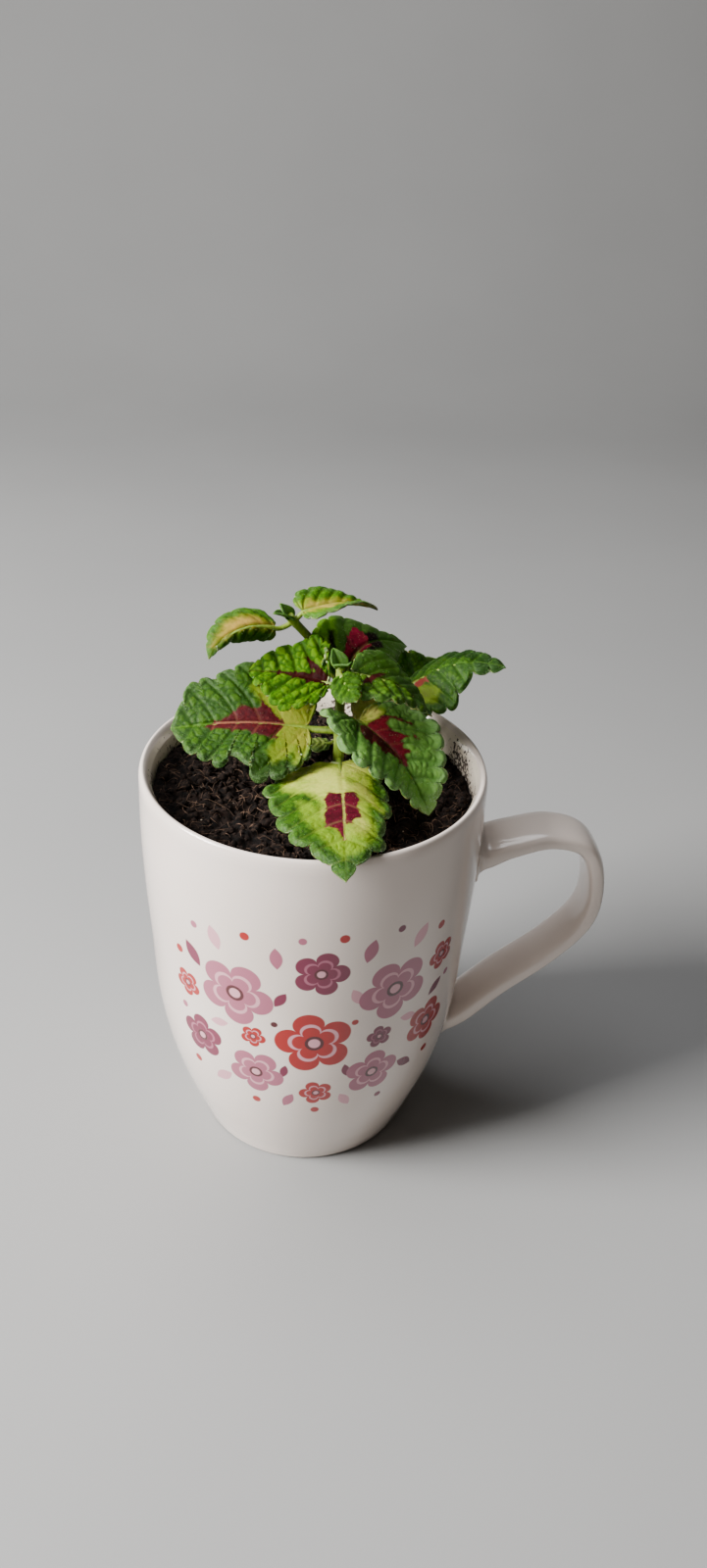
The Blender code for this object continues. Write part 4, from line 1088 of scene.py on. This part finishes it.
# Where a leaf joins its stem: the stem's middle, its direction and its swollen radius at a height
def stemJoint(stem, height):
    curve = SmoothPath(stem["line"])
    steps = 400
    shares = [step / steps for step in range(steps + 1)]
    share = min(shares, key=lambda value: abs(curve.at(value).z - height))
    along = (curve.at(share) - curve.at(share - 0.01)).normalized()
    foot, tip = stem["radius"]
    return curve.at(share), along, (foot + (tip - foot) * share) * stemLooks["swell"]


# The stalk from the stem, level with the blade at its base, running on beneath as the raised rib
def fineStalk(name, leaf, midrib):
    centre, along, seat = stemJoint(stems[leaf["stem"]], leaf["jointHeight"])
    rules, thick = stalkRules, leaf["petiole"]
    base, forward, _, up = midrib.frame(0.0)
    base = base - up * thick * rules["sink"]
    away = base - centre
    away = (away - along * away.dot(along)).normalized()
    start = centre + away * seat * rules["seat"]
    span = (base - start).length
    pullStart, pullEnd = start + away * span * rules["pull"], base - forward * span * rules["pull"]
    reach = leaf["length"] * rules["reach"]
    split = span / (span + reach)

    def line(share):
        if share < split:
            part = share / split
            rest = 1.0 - part
            return (start * rest ** 3 + pullStart * 3 * rest ** 2 * part
                    + pullEnd * 3 * rest * part ** 2 + base * part ** 3)
        part = (share - split) / (1 - split)
        point, _, _, lift = midrib.frame(reach * part)
        return point - lift * (thick * rules["sink"] + rules["rib"] * min(1.0, part * 5) * (1 - part))

    def radiusAt(share):
        if share < split:
            return thick * (1.15 - 0.15 * share / split)
        part = (share - split) / (1 - split)
        return thick * (1 - part) ** 0.8 * 0.95 + rules["endRadius"]
    rings = max(rules["leastRings"], round((span + reach) / rules["ring"]))
    return stalk(name, line, radiusAt, rules["sides"], rings)


# Colours of the blades; a leaf's own looks change some of them
leafLooks = {
    "green": (0.027, 0.085, 0.003), "deep": (0.013, 0.046, 0.002), "paintedSheen": (0.085, 0.145, 0.055),
    "red": (0.095, 0.004, 0.008), "redDark": (0.03, 0.002, 0.004), "redEdge": (0.05, 0.025, 0.006),
    "pale": (0.27, 0.29, 0.02), "paleGreen": (0.13, 0.20, 0.006), "lime": (0.14, 0.24, 0.006),
    "dark": (0.007, 0.021, 0.001), "vein": (0.06, 0.15, 0.006), "ribInRed": (0.26, 0.10, 0.05),
    "paintedBacklight": (0.09, 0.20, 0.003), "paintedBacklightAmount": 0.2, "ragged": 0.9, "paintedSheenAmount": 0.6,
    "veinAmount": 0.2, "ribAmount": 0.6, "grain": 0.6, "shine": 0.11,
    "veinWidth": 0.3, "ribWidth": 0.26, "lineBlur": 0.14, "paintedSheenWidth": 3.6,
}
underLooks = {"deep": (0.04, 0.10, 0.008), "green": (0.08, 0.16, 0.02), "pale": (0.42, 0.44, 0.16),
              "red": (0.17, 0.05, 0.05), "vein": (0.33, 0.42, 0.17), "veinWidth": 0.45}
hairLooks = {"dark": (0.16, 0.24, 0.09), "light": (0.34, 0.42, 0.24)}
skinGlow = {"Subsurface_Weight": 0.4, "Subsurface_Scale": 0.0016}


def leafFinish(name, looks):
    skin = Finish(name, **skinGlow, Subsurface_Radius=(0.6, 1.0, 0.3), Specular_IOR_Level=looks["shine"])
    tone = skin.noise(7.0, 3.0, 0.6)
    fine = skin.noise(0.9, 3.0, 0.6)
    ragged = (skin.noise(1.6, 3.0, 0.65) - 0.5) * (2 * looks["ragged"])
    relief, pillow, blur = skin.attribute("relief"), skin.attribute("pillow"), looks["lineBlur"]
    veinLine = (looks["veinWidth"] - skin.attribute("vein")).ramp(-blur, blur)
    ribLine = (looks["ribWidth"] - skin.attribute("rib")).ramp(-blur, blur)
    # Painted shade: besides random tone, the relief and pad heights darken the blade towards deep in the
    # grooves and lighten it on the cushions and pads
    light = (tone * 0.7 + relief * 0.2 + pillow * 0.15).ramp(0.3, 0.75)
    color = skin.blend(looks["deep"], looks["green"], light)
    # Painted backlight: cushion tops and pads are painted a brighter yellow-green, as if lit through the
    # leaf
    paintedBacklight = (relief * 0.7 + pillow * 0.5 + fine * 0.5).ramp(0.75, 1.4) * looks["paintedBacklightAmount"]
    color = skin.blend(color, looks["paintedBacklight"], paintedBacklight)
    color = skin.blend(color, looks["lime"], (skin.attribute("lime") + ragged * 1.5).ramp(-1.2, 1.2))
    # Dark patches: darker pigment on some leaves, painted shade on the hanging halves of leaf_left and
    # leaf_top_left
    color = skin.blend(color, looks["dark"], (skin.attribute("dark") + ragged).ramp(-0.6, 0.6))
    paleDepth = skin.attribute("pale") + ragged * 1.4 + veinLine * 0.6
    pale = paleDepth.ramp(-0.5, 1.7)
    paleTone = skin.blend(looks["pale"], looks["paleGreen"], (tone + fine * 0.3).ramp(0.5, 0.85))
    color = skin.blend(color, looks["paleGreen"], paleDepth.ramp(-1.7, 0.4))
    color = skin.blend(color, paleTone, pale)
    color = skin.blend(color, looks["vein"], veinLine * looks["veinAmount"] * (1.0 - pale * 0.8))
    color = skin.blend(color, looks["vein"], ribLine * looks["ribAmount"] * (1.0 - pale * 0.6))
    spread = skin.attribute("red") + ragged * 0.9 + veinLine * 0.5
    color = skin.blend(color, looks["redEdge"], spread.ramp(-0.5, -0.05) * 0.6)
    red = skin.blend(looks["redDark"], looks["red"], (fine * 0.6 + tone * 0.5).ramp(0.35, 0.7))
    red = skin.blend(red, looks["ribInRed"], (ribLine * 0.75).larger(veinLine * 0.14))
    redMask = spread.ramp(-0.1, 0.1)
    color = skin.blend(color, red, redMask)
    # Painted sheen: grey-green speckles along the margin stand for light caught by the hairs
    speckle = skin.noise(0.4, 1.0).ramp(0.5, 0.66)
    nearEdge = (looks["paintedSheenWidth"] - skin.attribute("edge")).ramp(0.0, looks["paintedSheenWidth"])
    paintedSheenMask = nearEdge * (0.25 + speckle * 0.9) * looks["paintedSheenAmount"]
    color = skin.blend(color, looks["paintedSheen"], paintedSheenMask * (1.0 - redMask) * (1.0 - pale * 0.7))
    skin.feed(Base_Color=color, Roughness=0.4 + fine * 0.25,
              Normal=skin.bump(skin.noise(0.8, 3.0, 0.65), 0.16, looks["grain"]))
    return skin.material


def undersideFinish(name):
    under = Finish(name, **skinGlow, Roughness=0.6)
    vein = (underLooks["veinWidth"] - under.attribute("vein")).ramp(-0.2, 0.2)
    color = under.blend(underLooks["deep"], underLooks["green"], under.noise(4.0, 3.0).ramp(0.35, 0.7))
    color = under.blend(color, underLooks["pale"], under.attribute("pale").ramp(-0.8, 0.8))
    color = under.blend(color, underLooks["red"], under.attribute("red").ramp(-0.5, 0.5) * 0.55)
    color = under.blend(color, underLooks["vein"], vein * 0.5)
    under.feed(Base_Color=color, Normal=under.bump(under.noise(0.6, 3.0), 0.08, 0.8))
    return under.material


def stemFinish(name):
    green = Finish(name, Subsurface_Weight=0.15, Subsurface_Scale=0.001, Roughness=0.45)
    streaks = green.node("ShaderNodeMapping", {}, {"Vector": green.place(), "Scale": (1.0, 1.0, 0.12)})
    tone = green.noise(0.7, 3.0, 0.6, streaks).ramp(0.35, 0.7)
    color = green.blend(stemLooks["green"], stemLooks["light"], tone)
    color = green.blend(color, stemLooks["blush"], green.noise(4.0, 2.0).ramp(0.6, 0.8) * 0.5)
    green.feed(Base_Color=color, Normal=green.bump(green.noise(0.5, 2.0), 0.04, 0.6))
    return green.material


def hairFinish():
    hair = Finish("plantHair", Roughness=0.4, Subsurface_Weight=0.2, Subsurface_Scale=0.0005)
    mottle = hair.noise(2.0, 2.0).ramp(0.3, 0.7)
    hair.feed(Base_Color=hair.blend(hairLooks["dark"], hairLooks["light"], mottle))
    return hair.material


# Short hairs that stand on a mesh: on all of it, and closer along the rows near an edge
def growHairs(name, thing, perSquare, length, rng, edgeShare=0.0):
    mesh = thing.data
    hairPoints = [Vector((math.cos(turn), math.sin(turn), 0.0)) for turn in (0.0, 2.1, 4.2)]
    hairPoints.append(Vector((0.35, 0.0, 1.0)))
    hairFaces = [[0, 1, 3], [1, 2, 3], [2, 0, 3]]
    edge = mesh.attributes.get("edge")
    places = []
    radius = leafRules["hairRadius"]
    for face in mesh.polygons:
        chance = perSquare * face.area / mm ** 2
        if edge and edgeShare and edge.data[face.vertices[0]].value < leafRules["edgeBand"]:
            chance += edgeShare * face.area / mm ** 2
        while rng.random() < chance:
            chance -= 1.0
            tall = length * rng.uniform(0.6, 1.2)
            turn = Vector((0, 0, 1)).rotation_difference(
                (face.normal + Vector([rng.uniform(-0.5, 0.5) for _ in range(3)])).normalized())
            shape = Matrix.Diagonal((radius * mm, radius * mm, tall * mm, 1.0))
            places.append(Matrix.Translation(face.center) @ turn.to_matrix().to_4x4() @ shape)
    return scatter(name, hairPoints, hairFaces, places)


# A blade with its materials on gets its thickness, with the last material below and on the rim
def thicken(blade, thickness):
    thick = blade.modifiers.new("thickness", "SOLIDIFY")
    thick.thickness = thickness * mm
    thick.offset = -1.0
    thick.material_offset = len(blade.data.materials) - 1
    thick.material_offset_rim = thick.material_offset
    applyModifiers(blade)
    blade.data.shade_smooth()


def addLeaves(hair, green):
    for number, (name, differences) in enumerate(leaves.items()):
        leaf = {**leafBasics, **differences}
        looks = {**leafLooks, **leaf["looks"]}
        rng = random.Random(number + 1)
        piece = name.replace("leaf_", "").title().replace("_", "")
        blade, midrib = fineBlade("blade" + piece, leaf, number + 1)
        hairs = growHairs("hairs" + piece, blade, leafRules["hairsPerSquare"] * leaf["hairs"],
                          leafRules["hairLength"], rng, leafRules["hairsAtEdge"] * leaf["hairs"])
        blade.data.materials.append(leafFinish("leafTop" + piece, looks))
        blade.data.materials.append(undersideFinish("leafUnder" + piece))
        thicken(blade, leafRules["thickness"])
        petiole = fineStalk("petiole" + piece, leaf, midrib)
        petiole.data.shade_smooth()
        petiole.data.materials.append(green)
        petioleHairs = growHairs("stalkHairs" + piece, petiole, leafRules["stalkHairs"] * leaf["hairs"],
                                 leafRules["stalkHairLength"], rng)
        for part in (hairs, petioleHairs):
            part.data.materials.append(hair)
        selectOnly(blade, petiole, hairs, petioleHairs)
        bpy.ops.object.join()
        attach(blade, "root")
        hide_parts(name)
        print(name + ":", len(blade.data.polygons), "faces")


def addStems(hair, green):
    for number, (name, stem) in enumerate(stems.items()):
        curve = SmoothPath(stem["line"])
        foot, tip = stem["radius"]
        joints = [leaf["jointHeight"] for leaf in leaves.values() if leaf.get("stem", "stem_main") == name]

        def radiusAt(share, curve=curve, joints=joints, foot=foot, tip=tip):
            near = min(abs(curve.at(share).z - joint) for joint in joints)
            swell = (stemLooks["swell"] - 1.0) * hump(near, 0.0, stemLooks["swellReach"])
            return (foot + (tip - foot) * share) * (1.0 + swell)
        shoot = stalk(name.replace("_", "").replace("stem", "shoot"), curve.at, radiusAt,
                      stemLooks["sides"], stemLooks["rings"], stemLooks["square"])
        shoot.data.shade_smooth()
        shoot.data.materials.append(green)
        rng = random.Random(40 + number)
        hairs = growHairs(name + "Hairs", shoot, stemLooks["hairsPerSquare"],
                          stemLooks["hairLength"], rng)
        hairs.data.materials.append(hair)
        parts = [hairs]
        for index, bud in enumerate(stem["buds"]):
            leaf = {**leafBasics, **budLeaf, **bud, "base": tuple(curve.at(stemLooks["budAt"]))}
            young, _ = fineBlade(f"{name}Bud{index}", leaf, 30 + index)
            young.data.materials.append(leafFinish(f"{name}Bud{index}", leafLooks))
            thicken(young, leafRules["budThickness"])
            parts.append(young)
        selectOnly(shoot, *parts)
        bpy.ops.object.join()
        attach(shoot, "root")
        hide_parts(name)
        print(name + ":", len(shoot.data.polygons), "faces")


addCamera()
addStudio()
addMug()
addSoil()
hairMaterial = hairFinish()
stemMaterial = stemFinish("stemSkin")
addLeaves(hairMaterial, stemMaterial)
addStems(hairMaterial, stemMaterial)
